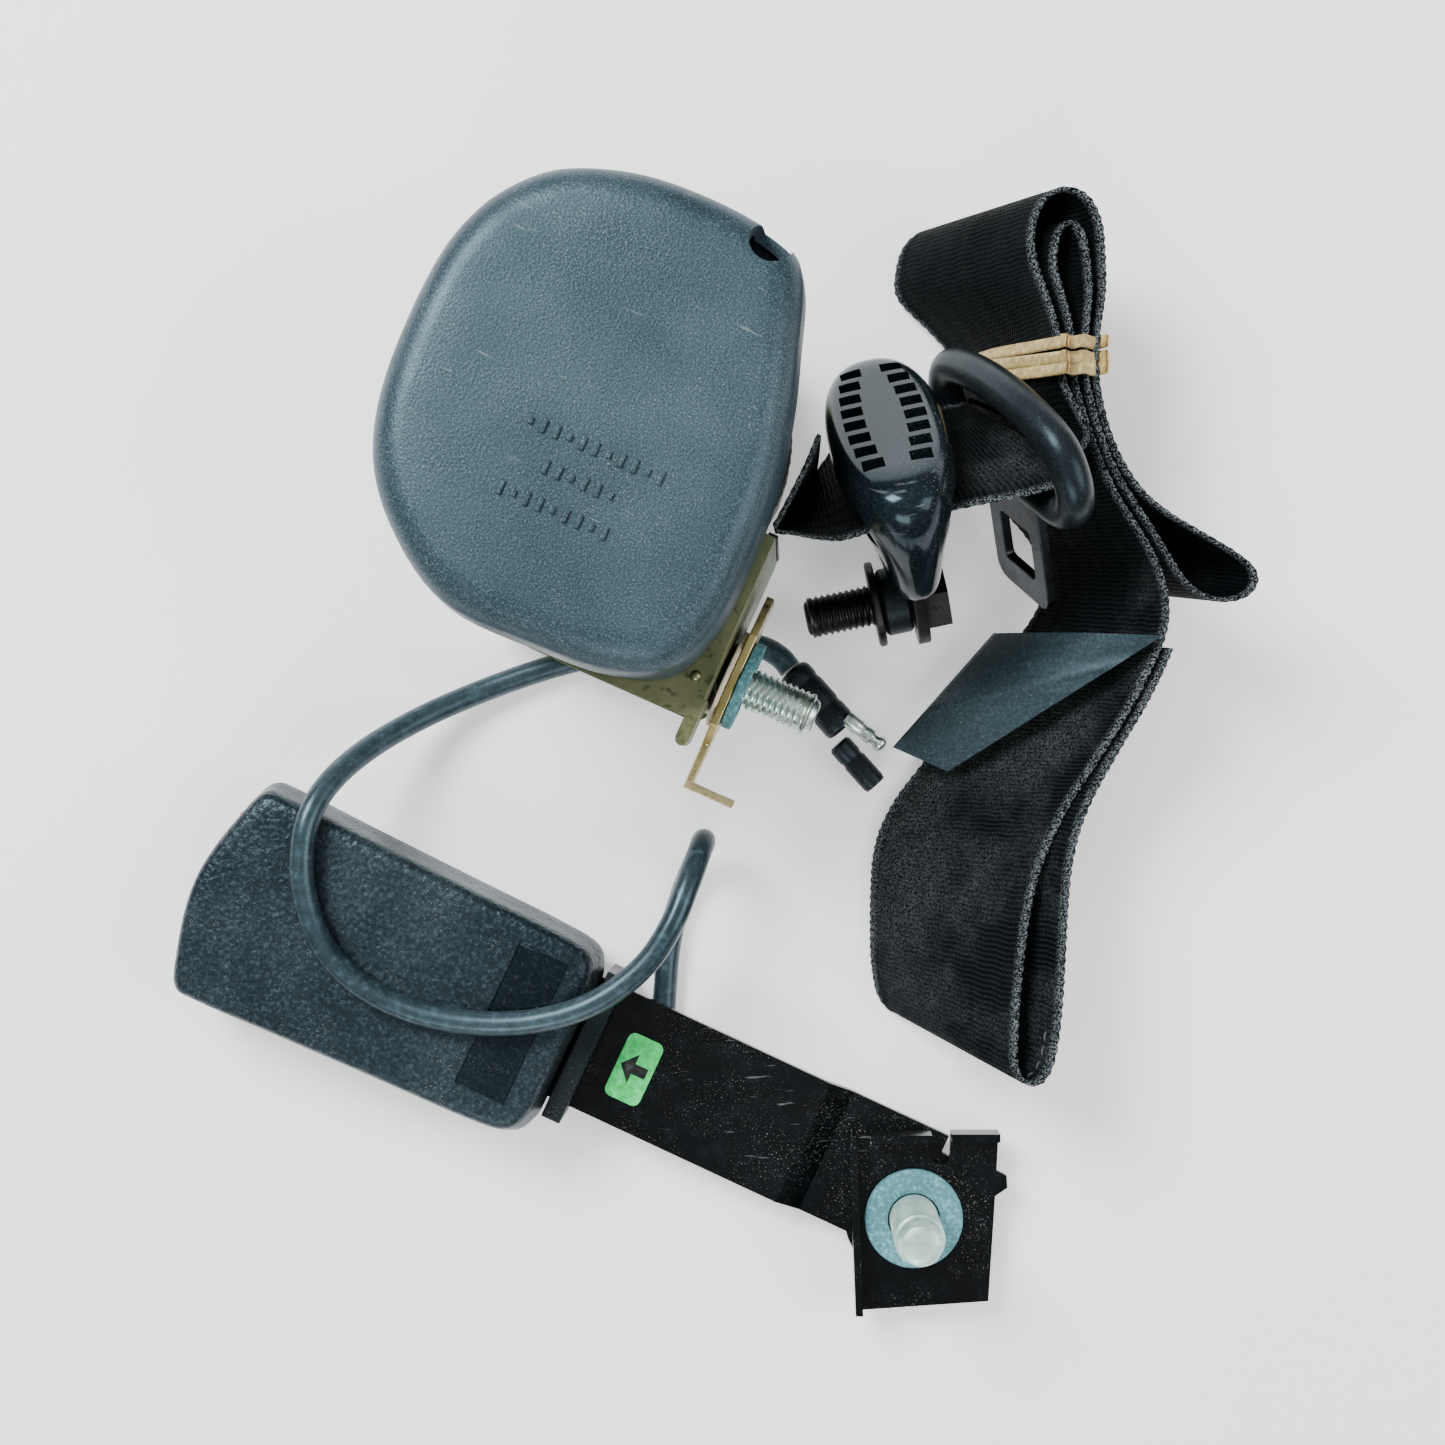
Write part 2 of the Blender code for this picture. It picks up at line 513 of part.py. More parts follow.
def build_mounting(reel):
    """The captive bolt, its washers and the anti-turn plate, along the retractor's x."""
    at, along = (0, BOLT_Y, BOLT_Z), (0, 90, 0)
    bore = STUD_RADIUS + 0.4
    hex_bolt("mount_bolt", ZINC, reel, (BACK_PLATE[0] - GAP, BOLT_Y, BOLT_Z), along, STUD_RADIUS,
             STUD_TIP - BACK_PLATE[0] + GAP, 9.4, 6.0)
    washer("wave_washer", DARK_STEEL, reel, at, along, bore, 8.6, 49.1, 49.8)
    washer("spacer_washer", CREAM, reel, at, along, bore, 11.6, 50.0, 51.1)
    outline = [(-5.0, -28.4), (5.0, -28.4), (9.6, -38.0), (9.6, -60.0), (4.0, -64.6), (4.0, -75.6),
               (-4.0, -75.6), (-4.0, -64.6), (-9.6, -60.0), (-9.6, -38.0)]
    plate = part("anti_turn_plate", prism([outline], 51.3, 53.1), GOLD, reel, (0, 0, BOLT_Z),
                 (0, 90, 0))
    join(plate, box((-4.0, -75.6, 52.2), (4.0, -73.8, 63.4)), "hook", (0, 0, BOLT_Z), (0, 90, 0))
    cut(plate, cylinder(bore, 45, 60), "bore", at, along)
    washer("fibre_washer", FIBRE, reel, at, along, bore, 10.5, 53.3, 55.6)


def build_retractor():
    reel = plan_empty("retractor_frame_axes", REEL_ORIGIN, REEL_TURN)
    build_frame(reel)
    build_covers(reel)
    build_spool(reel)
    build_lock(reel)
    build_mounting(reel)
    for name, spot in (("tie_bar_left", (-28.0, -30.0)), ("tie_bar_rear", (-20.0, 29.4))):
        part(name, cylinder(2.8, LOWER_PLATE[1] + GAP, UPPER_PLATE[0] - GAP, 16), ZINC, reel,
             (*spot, 0))
    part("webbing_guide", box((46.8, -17.7, 18.0), (49.0, -16.9, 64.0)), BLACK, reel)


# ---------------------------------------------------------------- guide loop
def build_guide_loop():
    loop = axes_empty("guide_loop_axes", GUIDE_ORIGIN, GUIDE_SLOT_AXIS, GUIDE_WEB_AXIS)
    right = [(33.0, -10.0), (33.0, -3.0), (30.0, 9.0), (23.0, 23.0), (16.0, 26.0)]
    left = [(-x, y) for x, y in reversed(right)]
    web = [(p.x, p.y) for p in (Vector(q) for q in right + left)]
    moulding = part("guide_loop_moulding", prism([web], -4.6, 4.6), GLOSS, loop)
    section = [(-13.4, 0.0)] + arc((-9.6, 6.0), 4.0, 160, 90, 2) + [(-5.6, 8.4), (-4.2, 4.0),
               (-4.2, -4.0), (-5.6, -8.4)] + arc((-9.6, -6.0), 4.0, -90, -160, 2)
    bar = prism([section], -33.0, 33.0)
    bar.transform(Matrix(((0, 0, 1, 0), (1, 0, 0, 0), (0, 1, 0, 0), (0, 0, 0, 1))))
    join(moulding, bar, "bar")
    cut(moulding, box((-25.2, -3.2, -12), (25.2, 3.2, 12)), "slot")
    plate_outline = [(27.0, 6.2), (20.0, 21.0)] + arc((0, GUIDE_HOLE_Y), 11.8, 20, 160, 7) + [
        (-20.0, 21.0), (-27.0, 6.2)]
    cut(moulding, prism([[(x * 1.012, y + (GAP if y > 10 else -GAP)) for x, y in plate_outline]],
                        -1.8, 1.8), "plate_pocket")
    plate = part("guide_loop_plate", prism([plate_outline], -1.5, 1.5), DARK_STEEL, loop)
    cut(plate, cylinder(STUD_RADIUS + 0.5, -5, 5), "bore", (0, GUIDE_HOLE_Y, 0))
    for row, side in enumerate((-4.9, 4.9)):
        for i in range(8):
            x = -22.4 + 6.1 * i
            cut(moulding, box((x, -15.0, side - 2.7), (x + 4.3, -10.4, side + 2.7)),
                f"pocket_{row}_{i}")
    at = (0, GUIDE_HOLE_Y, 0)
    hex_bolt("guide_bolt", DARK_STEEL, loop, (0, GUIDE_HOLE_Y, 1.5 + GAP), (180, 0, 0), STUD_RADIUS,
             29.0, 9.4, 5.5)
    washer("guide_bush", BLACK, loop, at, (0, 0, 0), STUD_RADIUS + 0.4, 8.2, -8.6, -1.8, 24)
    washer("guide_washer", DARK_STEEL, loop, at, (0, 0, 0), STUD_RADIUS + 0.4, 10.4, -10.8, -8.9, 24)


# ---------------------------------------------------------------- tongue
def build_tongue():
    frame = axes_empty("tongue_axes", TONGUE_ORIGIN, TONGUE_SLOT_AXIS, TONGUE_WEB_AXIS)
    half = BLADE_HALF
    outline = [(half, 4.4)] + arc((half - 4, BLADE_TIP - 4), 4, 0, 90, 4) + arc(
        (4 - half, BLADE_TIP - 4), 4, 90, 180, 4) + [(-half, 4.4)]
    window = arc((5.6, 33.4), 1.4, 90, 0, 2) + arc((5.6, 22.4), 1.4, 0, -90, 2) + arc(
        (-5.6, 22.4), 1.4, -90, -180, 2) + arc((-5.6, 33.4), 1.4, 180, 90, 2)
    part("tongue_blade", prism([outline, window], -BLADE_THICK / 2, BLADE_THICK / 2), STEEL, frame)
    right = [(14.0, 7.2), (23.0, 6.8), (28.4, 2.6), (28.6, -4.0), (24.0, -10.4), (13.0, -13.6)]
    path = [(0.0, 7.2)] + right + [(0.0, -14.6)] + [(-x, y) for x, y in reversed(right)]
    points = smooth([(x, y, 0.0) for x, y in path], 2, closed=True)
    grip = part("tongue_grip", tube(points, 4.3, closed=True, resolution=3), SATIN, frame)
    cut(grip, box((-half - GAP, 0.0, -1.55), (half + GAP, 14.0, 1.55)), "blade_slot")


# ---------------------------------------------------------------- webbing
def edge_rows(stations, steps=2):
    """Rows for a ribbon from stations given by their upper selvedge and their width vector."""
    flat = []
    for (x, y), lean, *lift in stations:
        lean = Vector(lean).normalized() * WEB_WIDTH
        base = lift[0] if lift else LAY_Z
        upper = Vector((x, y, base + lean.z))
        flat.append((upper - lean, upper))
    lowers = smooth([row[0] for row in flat], steps)
    uppers = smooth([row[1] for row in flat], steps)
    return list(zip(lowers, uppers))


def strand_rows(steps=2):
    centres = smooth([row[0] for row in STRAND], steps)
    widths = smooth([row[1] for row in STRAND], steps)
    half = WEB_WIDTH / 2
    return [(c - w.normalized() * half, c + w.normalized() * half) for c, w in zip(centres, widths)]


def build_webbing():
    """The strip is one continuous webbing; it is split where its hollows part."""
    lead = strand_rows()
    folds = edge_rows(FOLDS)
    bridge = [(lead[-1][0].lerp(folds[0][0], t), lead[-1][1].lerp(folds[0][1], t)) for t in (0.5,)]
    for name, rows in (("webbing_lead", lead + bridge), ("webbing_folds", folds),
                       ("webbing_end_loop", edge_rows(END_LOOP))):
        solidify(part(name, ribbon(rows), WEBBING), WEB_THICK, 0)


def build_band_and_label():
    """The rubber band round the four layers, and the blank vinyl label sewn to the strip."""
    y, wide = 97.2, 6.4
    slope = Vector((BAND_LEAN[0], BAND_LEAN[2])).normalized()
    low = Vector((66.5, LAY_Z))
    high = low + slope * WEB_WIDTH
    across = 6.2
    ring = []
    for centre, start in ((high, 68), (low, 248)):
        for i in range(9):
            angle = math.radians(start - 90 + 180 * i / 8)
            ring.append(centre + Vector((math.cos(angle), math.sin(angle))) * across)
    curve = [(p.x, max(p.y, 0.9)) for p in ring]
    outer = smooth(curve, 1, closed=True)
    inner = inset(outer, 0.8)
    band = prism([[(p.x, p.y) for p in outer], [(p.x, max(p.y, 1.5)) for p in inner]], -wide / 2, wide / 2)
    band.transform(Matrix(((1, 0, 0, 0), (0, 0, 1, y * MM), (0, 1, 0, 0), (0, 0, 0, 1))))
    band.flip_normals()
    part("rubber_band", band, BAND)
    corners = {"tip": (104.0, 31.6, 43.0), "top": (69.0, 34.5, 10.0), "foot": (57.5, 0.6, 14.0),
               "left": (44.4, 6.6, 9.0)}
    mesh = bpy.data.meshes.new("label")
    bm = bmesh.new()
    bmesh.ops.create_grid(bm, x_segments=5, y_segments=4, size=0.5)
    for vert in bm.verts:
        s, t = vert.co.x + 0.5, vert.co.y + 0.5
        upper = Vector(corners["top"]).lerp(Vector(corners["tip"]), s)
        lower = Vector(corners["left"]).lerp(Vector(corners["foot"]), s)
        vert.co = (lower.lerp(upper, t) + Vector((0, 0, 5.0 * math.sin(math.pi * s) * t))) * MM
    bm.to_mesh(mesh)
    bm.free()
    solidify(part("label_flap", mesh, VINYL), 0.5, 0)


# ---------------------------------------------------------------- buckle
def buckle_outline():
    half = [(53.5, 12.0), (52.8, 19.0), (49.0, 23.6), (38.0, 24.8), (20.0, 25.2), (-10.0, 26.0),
            (-30.0, 26.5), (-34.6, 25.2), (-37.6, 17.0), (-40.0, 8.0)]
    points = [Vector(p) for p in half] + [Vector((-40.8, 0.0))]
    return points + [Vector((x, -y)) for x, y in reversed(half)]


def build_shells(buckle):
    outline = buckle_outline()
    upper = part("buckle_upper_shell", dome(outline, [
        (-1.4, SHELL_SPLIT[1]), (-1.4, SHELL_SPLIT[1] + 1), (-0.3, 21.0), (0.2, 24.6), (1.0, 26.4), (2.6, BUCKLE_TOP)]),
        BUCKLE_PLASTIC, buckle)
    solidify(upper, SHELL_WALL, -1)
    lower = part("buckle_lower_shell", dome(outline, [
        (-1.4, SHELL_SPLIT[0]), (-1.4, SHELL_SPLIT[0] - 1), (-0.3, 7.0), (0.2, 3.2), (1.0, 1.2), (2.6, 0.4)]),
        BUCKLE_PLASTIC, buckle)
    solidify(lower, SHELL_WALL, -1)
    cut(upper, box((-45, -20.0, 10), (-30, 20.0, 24.0)), "button_mouth")
    cut(lower, box((-45, -20.0, 8.4), (-30, 20.0, 18)), "tongue_mouth")
    cut(upper, box((34.0, -17.5, BUCKLE_TOP - 0.6), (47.0, 19.0, 30)), "panel")
    neck = (STRAP_Y - STRAP_HALF - 0.5, STRAP_Y + STRAP_HALF + 0.5)
    cut(lower, box((46, neck[0], 2.9), (60, neck[1], 18)), "strap_mouth")
    collar = part("neck_collar", box((55.6, neck[0] - 2.6, 0.6), (60.4, neck[1] + 2.6, 20.0)), BLACK,
                  buckle)
    cut(collar, box((50, neck[0], STRAP_Z - GAP), (65, neck[1], STRAP_Z + STRAP_THICK + GAP)),
        "strap_slot")
    cut(collar, cylinder(LEAD_RADIUS + GAP, 45, 65, 12), "lead_hole", (0, -2.0, 4.4), (0, 90, 0))


def build_buckle_inside(buckle):
    frame = part("buckle_frame", box((-28, -16, 6.0), (46, 16, 8.0)), STEEL, buckle)
    for side in (-1, 1):
        low, high = sorted((side * 12.0, side * 14.4))
        join(frame, box((2.6, low, 7.0), (9.4, high, 19.0)), f"ear_{side}")
    join(frame, box((18.0, -12.0, 7.0), (21.0, 12.0, 17.0)), "spring_stop")
    cut(frame, cylinder(1.8, -20, 20, 12), "pin_bore", (6.0, 0, 15.6), (90, 0, 0))
    for name, x in (("strap_rivet_front", 32.0), ("strap_rivet_rear", 41.0)):
        cut(frame, cylinder(2.5, 0, 20, 12), name, (x, STRAP_Y, 0))
    part("latch_pin", cylinder(1.5, -14.2, 14.2, 12), ZINC, buckle, (6.0, 0, 15.6), (90, 0, 0))
    latch = part("latch_plate", box((-14.0, -9.6, 14.8), (9.0, 9.6, 16.4)), STEEL, buckle)
    join(latch, box((-14.0, -6.0, 12.0), (-11.4, 6.0, 15.6)), "nose")
    join(latch, cylinder(2.6, -9.6, 9.6, 16), "barrel", (6.0, 0, 15.6), (90, 0, 0))
    cut(latch, cylinder(1.8, -20, 20, 12), "bore", (6.0, 0, 15.6), (90, 0, 0))
    part("latch_spring", coil(2.0, 6.6, 4, 0.35), STEEL, buckle, (-2.0, 0, 17.2))
    button = part("release_button", box((-39.6, -19.2, 16.9), (-24.0, 19.2, 23.6)), RED, buckle)
    bevel = button.modifiers.new("edge", "BEVEL")
    bevel.width, bevel.segments = 0.8 * MM, 1
    part("spring_bridge", box((-8.8, -15.0, 19.6), (-6.0, 15.0, 24.4)), GREY, buckle)
    part("button_spring", coil(2.0, 14.2, 7, 0.35), STEEL, buckle, (-23.5, 0, 21.6), (0, 90, 0))
    part("ejector", box((-10.6, -7.0, 8.5), (-2.0, 7.0, 14.2)), GREY, buckle)
    part("ejector_spring", coil(1.8, 19.0, 8, 0.35), STEEL, buckle, (-1.6, 0, 10.5), (0, 90, 0))
    part("contact_switch", box((24.0, -20.0, 12.0), (40.0, -8.0, 20.0)), BLACK, buckle)


def build_stalk(buckle):
    """The steel strap from the buckle's frame down to the anchor bolt."""
    top = STRAP_Z + STRAP_THICK
    end_top = STRAP_END_Z + STRAP_THICK
    side = [(26.0, STRAP_Z), (115.0, STRAP_Z), (121.5, STRAP_END_Z), (148.5, STRAP_END_Z),
            (148.5, end_top), (122.6, end_top), (116.2, top), (26.0, top)]
    mesh = prism([side], -STRAP_HALF, STRAP_HALF)
    mesh.transform(Matrix(((1, 0, 0, 0), (0, 0, -1, STRAP_Y * MM), (0, 1, 0, 0), (0, 0, 0, 1))))
    strap = part("stalk_strap", mesh, BLACK_PAINT, buckle)
    spot = anchor_spot(buckle)
    join(strap, cylinder(17.0, STRAP_END_Z, end_top), "eye", (*spot, 0))
    cut(strap, cylinder(ANCHOR_STUD_RADIUS + 0.5, 0, 12), "bore", (*spot, 0))
    for name, x in (("strap_rivet_front", 32.0), ("strap_rivet_rear", 41.0)):
        cut(strap, cylinder(2.5, 0, 20, 12), name, (x, STRAP_Y, 0))
        profile = [(0, top + 1.4), (3.6, top + 1.2), (4.2, top + GAP), (2.2, top + GAP),
                   (2.2, 5.7), (4.2, 5.7), (4.2, 4.2), (0, 4.2)]
        screw(part(name, turned(profile), ZINC, buckle, (x, STRAP_Y, 0)), 16)
    sticker = [Vector(p) for p in arc((74.0, 6.9), 1.8, 90, 0, 3) + arc((74.0, -6.2), 1.8, 0, -90, 3)
               + arc((68.3, -6.2), 1.8, -90, -180, 3) + arc((68.3, 6.9), 1.8, 180, 90, 3)]
    part("side_sticker", prism([[(p.x, p.y) for p in reversed(sticker)]], top + 0.02, top + 0.25),
         STICKER, buckle)


def anchor_spot(buckle):
    """The anchor axis in the buckle's own plan."""
    turn = math.radians(-BUCKLE_TURN)
    dx, dy = ANCHOR[0] - BUCKLE_ORIGIN[0], ANCHOR[1] - BUCKLE_ORIGIN[1]
    return (dx * math.cos(turn) - dy * math.sin(turn), dx * math.sin(turn) + dy * math.cos(turn))


def build_anchor():
    """The folded bracket, its washer and the captive bolt, in world axes."""
    low, high = STRAP_END_Z + STRAP_THICK + GAP, STRAP_END_Z + STRAP_THICK + GAP + 2.0
    outline = [(34.4, -88.6), (36.0, -131.6), (67.9, -129.4), (69.4, -107.0), (70.4, -88.6),
               (58.6, -88.6), (58.5, -92.4)] + arc((56.1, -93.4), 2.4, 0, -180, 6) + [(53.7, -88.6)]
    bracket = part("anchor_bracket", prism([outline[::-1]], low, high), BLACK_PAINT)
    left = [(33.6, -88.6), (35.4, -88.6), (37.0, -131.6), (35.2, -131.6)]
    join(bracket, prism([left[::-1]], low, high + 5.6), "flange")
    tab_one = [(39.0, -89.6), (53.7, -89.6), (53.7, -87.6), (39.0, -87.6)]
    join(bracket, prism([tab_one], low, high + 6.0), "tab_one")
    tab_two = [(58.6, -89.6), (70.4, -89.6), (70.4, -87.6), (58.6, -87.6)]
    join(bracket, prism([tab_two], low, high + 4.6), "tab_two")
    ear = [(69.0, -104.0), (69.4, -97.0), (72.4, -98.6), (72.6, -101.6)]
    join(bracket, prism([ear[::-1]], low, high), "ear")
    cut(bracket, cylinder(ANCHOR_STUD_RADIUS + 0.5, 0, 20), "bore", (*ANCHOR, 0))
    washer("anchor_washer", FIBRE, None, (*ANCHOR, 0), (0, 0, 0), ANCHOR_STUD_RADIUS + 0.4, 12.0,
           high + GAP, high + GAP + 2.2)
    hex_bolt("anchor_bolt", COATED, None, (*ANCHOR, STRAP_END_Z - GAP), (0, 0, 0),
             ANCHOR_STUD_RADIUS, ANCHOR_TIP_Z - STRAP_END_Z + GAP, 10.6, 3.2, 24)


# ---------------------------------------------------------------- lead
def rod(start, end, radius):
    return tube([start, end], radius, resolution=2)


def build_lead():
    part("buckle_lead", tube(smooth(LEAD_ROUTE, 2), LEAD_RADIUS), LEAD)
    part("lead_sleeve", rod(SLEEVE_START, SLEEVE_END, 4.4), BLACK)
    part("bullet_plug", rod(BULLET_START, BULLET_END, 2.0), ZINC)
    part("bullet_socket", rod(SOCKET_START, SOCKET_END, 3.1), BLACK)


# ---------------------------------------------------------------- whole set
clear_scene()
PARTS = new_collection("seat_belt_set")
CUTTERS = new_collection("cutters")
COVER_PLASTIC = paint("cover_plastic", (0.035, 0.045, 0.055), 0.55)
BUCKLE_PLASTIC = paint("buckle_plastic", (0.018, 0.02, 0.022), 0.5)
BLACK = paint("black_plastic", (0.015, 0.015, 0.017), 0.5)
SATIN = paint("satin_plastic", (0.012, 0.012, 0.014), 0.35)
GLOSS = paint("glossy_plastic", (0.008, 0.009, 0.011), 0.2)
GREY = paint("grey_plastic", (0.2, 0.2, 0.2), 0.6)
CREAM = paint("cream_nylon", (0.75, 0.68, 0.52), 0.5)
RED = paint("red_plastic", (0.5, 0.02, 0.02), 0.4)
CHROMATE = paint("yellow_chromate", (0.5, 0.48, 0.22), 0.4, 1.0)
GOLD = paint("gold_chromate", (0.6, 0.52, 0.32), 0.35, 1.0)
ZINC = paint("zinc_plate", (0.6, 0.6, 0.62), 0.35, 1.0)
STEEL = paint("bare_steel", (0.45, 0.45, 0.46), 0.35, 1.0)
DARK_STEEL = paint("dark_steel", (0.05, 0.05, 0.055), 0.45, 1.0)
COATED = paint("coated_stud", (0.62, 0.62, 0.52), 0.5, 0.6)
BLACK_PAINT = paint("black_paint", (0.01, 0.01, 0.011), 0.3)
FIBRE = paint("fibre_washer_blue", (0.16, 0.23, 0.28), 0.8)
STICKER = paint("green_sticker", (0.1, 0.6, 0.15), 0.4)
WEBBING = paint("polyester_webbing", (0.015, 0.015, 0.017), 0.75)
VINYL = paint("label_vinyl", (0.03, 0.03, 0.032), 0.6)
BAND = paint("rubber_band_tan", (0.6, 0.45, 0.26), 0.55)
LEAD = paint("lead_jacket", (0.025, 0.03, 0.033), 0.4)

build_retractor()
build_guide_loop()
build_tongue()
build_webbing()
build_band_and_label()
BUCKLE = plan_empty("buckle_axes", BUCKLE_ORIGIN, BUCKLE_TURN)
build_shells(BUCKLE)
build_buckle_inside(BUCKLE)
build_stalk(BUCKLE)
build_anchor()
build_lead()
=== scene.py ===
"""Looks for a car seat-belt set: reel, guide loop, tongue, folded webbing, and buckle on its stalk.

Lengths are millimetres, turned into metres by MM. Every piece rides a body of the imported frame.
"""

import json
import math

import bmesh
import bpy
from mathutils import Matrix, Vector

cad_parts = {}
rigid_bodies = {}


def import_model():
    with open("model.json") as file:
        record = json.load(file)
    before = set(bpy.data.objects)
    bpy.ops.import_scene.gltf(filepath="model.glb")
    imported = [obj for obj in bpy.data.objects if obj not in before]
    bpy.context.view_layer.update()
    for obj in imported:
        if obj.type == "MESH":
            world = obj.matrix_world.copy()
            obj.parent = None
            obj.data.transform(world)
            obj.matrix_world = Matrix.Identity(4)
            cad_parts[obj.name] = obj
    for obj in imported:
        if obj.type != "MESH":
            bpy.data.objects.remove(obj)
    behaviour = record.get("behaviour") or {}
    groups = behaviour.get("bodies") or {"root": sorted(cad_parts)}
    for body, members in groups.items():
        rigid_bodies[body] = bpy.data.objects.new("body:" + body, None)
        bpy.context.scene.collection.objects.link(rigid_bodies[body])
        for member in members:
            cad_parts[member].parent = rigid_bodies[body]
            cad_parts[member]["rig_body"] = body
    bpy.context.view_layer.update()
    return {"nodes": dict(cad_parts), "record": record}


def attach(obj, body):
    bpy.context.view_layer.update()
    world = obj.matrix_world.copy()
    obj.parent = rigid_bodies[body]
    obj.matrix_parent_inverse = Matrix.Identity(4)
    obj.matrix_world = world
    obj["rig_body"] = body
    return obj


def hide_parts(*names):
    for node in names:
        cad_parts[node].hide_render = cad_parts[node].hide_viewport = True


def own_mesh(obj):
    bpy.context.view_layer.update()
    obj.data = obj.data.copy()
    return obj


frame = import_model()
NODES = frame["nodes"]
SCENE = bpy.context.scene
MM = 0.001


def linked(name, data):
    obj = bpy.data.objects.new(name, data)
    SCENE.collection.objects.link(obj)
    return obj


# ------------ places
def turned_frame(origin, degrees):
    return Matrix.Translation(Vector((*origin, 0)) * MM) @ Matrix.Rotation(math.radians(degrees), 4, "Z")


def axes_frame(origin, x_axis, z_hint):
    x = Vector(x_axis).normalized()
    z = (Vector(z_hint) - x * x.dot(Vector(z_hint))).normalized()
    return Matrix.Translation(Vector(origin) * MM) @ Matrix((x, z.cross(x), z)).transposed().to_4x4()


def about(matrix, at=(0, 0, 0), turn=(0, 0, 0)):
    angles = [math.radians(a) for a in turn]
    spin = (Matrix.Rotation(angles[2], 4, "Z") @ Matrix.Rotation(angles[1], 4, "Y")
            @ Matrix.Rotation(angles[0], 4, "X"))
    return matrix @ Matrix.Translation(Vector(at) * MM) @ spin


WORLD = Matrix.Identity(4)
REEL = turned_frame((-21.3, 87.1), -24)
BUCKLE = turned_frame((-83.5, -42.4), -25)
LOOP = axes_frame((43, 71, 36), (0.098, -0.602, 0.791), (0.975, 0.21, 0.03))
TONGUE = axes_frame((69.5, 76.4, 36.5), (0.42, -0.52, 0.744), (0.887, 0.409, -0.215))
SPOOL = (8.0, -4.0)
ANCHOR = (49.5, -108.7)
BOLT = (0, -49.0, 41.0)
WEB_WIDTH, WEB_THICK = 47.0, 1.1

# ------------ camera
FRAME_SIDE, FOCAL = 1445, 1920      # both in units of the picture's own grid
lens = bpy.data.cameras.new("photo_lens")
lens.sensor_width = 36.0
lens.lens = lens.sensor_width * FOCAL / FRAME_SIDE
lens.shift_x, lens.shift_y = -62.5 / FRAME_SIDE, 47.5 / FRAME_SIDE
lens.clip_start, lens.clip_end = 0.02, 20
camera = linked("camera", lens)
camera.location = (0.018, 0.001, 0.480)
SCENE.camera = camera


# ------------ material helpers
def feed(tree, socket, value):
    """Link a socket to an input, or set the input's value."""
    if isinstance(value, bpy.types.NodeSocket):
        tree.links.new(value, socket)
    else:
        socket.default_value = value


def shader_node(tree, kind, links=(), **settings):
    node = tree.nodes.new(kind)
    for name, value in settings.items():
        setattr(node, name, value)
    for key, value in dict(links).items():
        feed(tree, node.inputs[key], value)
    return node


def noise(tree, where, scale, detail=2.0, rough=0.5):
    return shader_node(tree, "ShaderNodeTexNoise",
                       {"Vector": where, "Scale": scale, "Detail": detail, "Roughness": rough}).outputs["Fac"]


def ramp(tree, value, low, high, start=0.0, end=1.0):
    return shader_node(tree, "ShaderNodeMapRange",
                       {"Value": value, "From Min": low, "From Max": high, "To Min": start, "To Max": end}
                       ).outputs["Result"]


def math_node(tree, kind, a, b=0.0, c=0.0):
    node = shader_node(tree, "ShaderNodeMath", operation=kind)
    for socket, value in zip(node.inputs, (a, b, c)):
        feed(tree, socket, value)
    return node.outputs[0]


def product(tree, a, b):
    return math_node(tree, "MULTIPLY", a, b)


def blend_colours(tree, amount, a, b):
    node = shader_node(tree, "ShaderNodeMix", data_type="RGBA")
    for index, value in ((0, amount), (6, a), (7, b)):
        feed(tree, node.inputs[index], (*value, 1.0) if isinstance(value, tuple) else value)
    return node.outputs[2]


def start_material(name, metallic=0.0, **sockets):
    mat = bpy.data.materials.new(name)
    mat.use_nodes = True
    tree = mat.node_tree
    shader = tree.nodes["Principled BSDF"]
    shader.inputs["Metallic"].default_value = metallic
    for key, value in sockets.items():
        shader.inputs[key.replace("_", " ")].default_value = value
    where = shader_node(tree, "ShaderNodeTexCoord").outputs["Object"]
    return mat, tree, shader, where


def bumped(tree, shader, layers):
    """layers: (height socket, distance in mm, strength)."""
    normal = None
    for height, distance, strength in layers:
        links = {"Height": height, "Distance": distance * MM, "Strength": strength}
        if normal:
            links["Normal"] = normal
        normal = shader_node(tree, "ShaderNodeBump", links).outputs["Normal"]
    tree.links.new(normal, shader.inputs["Normal"])


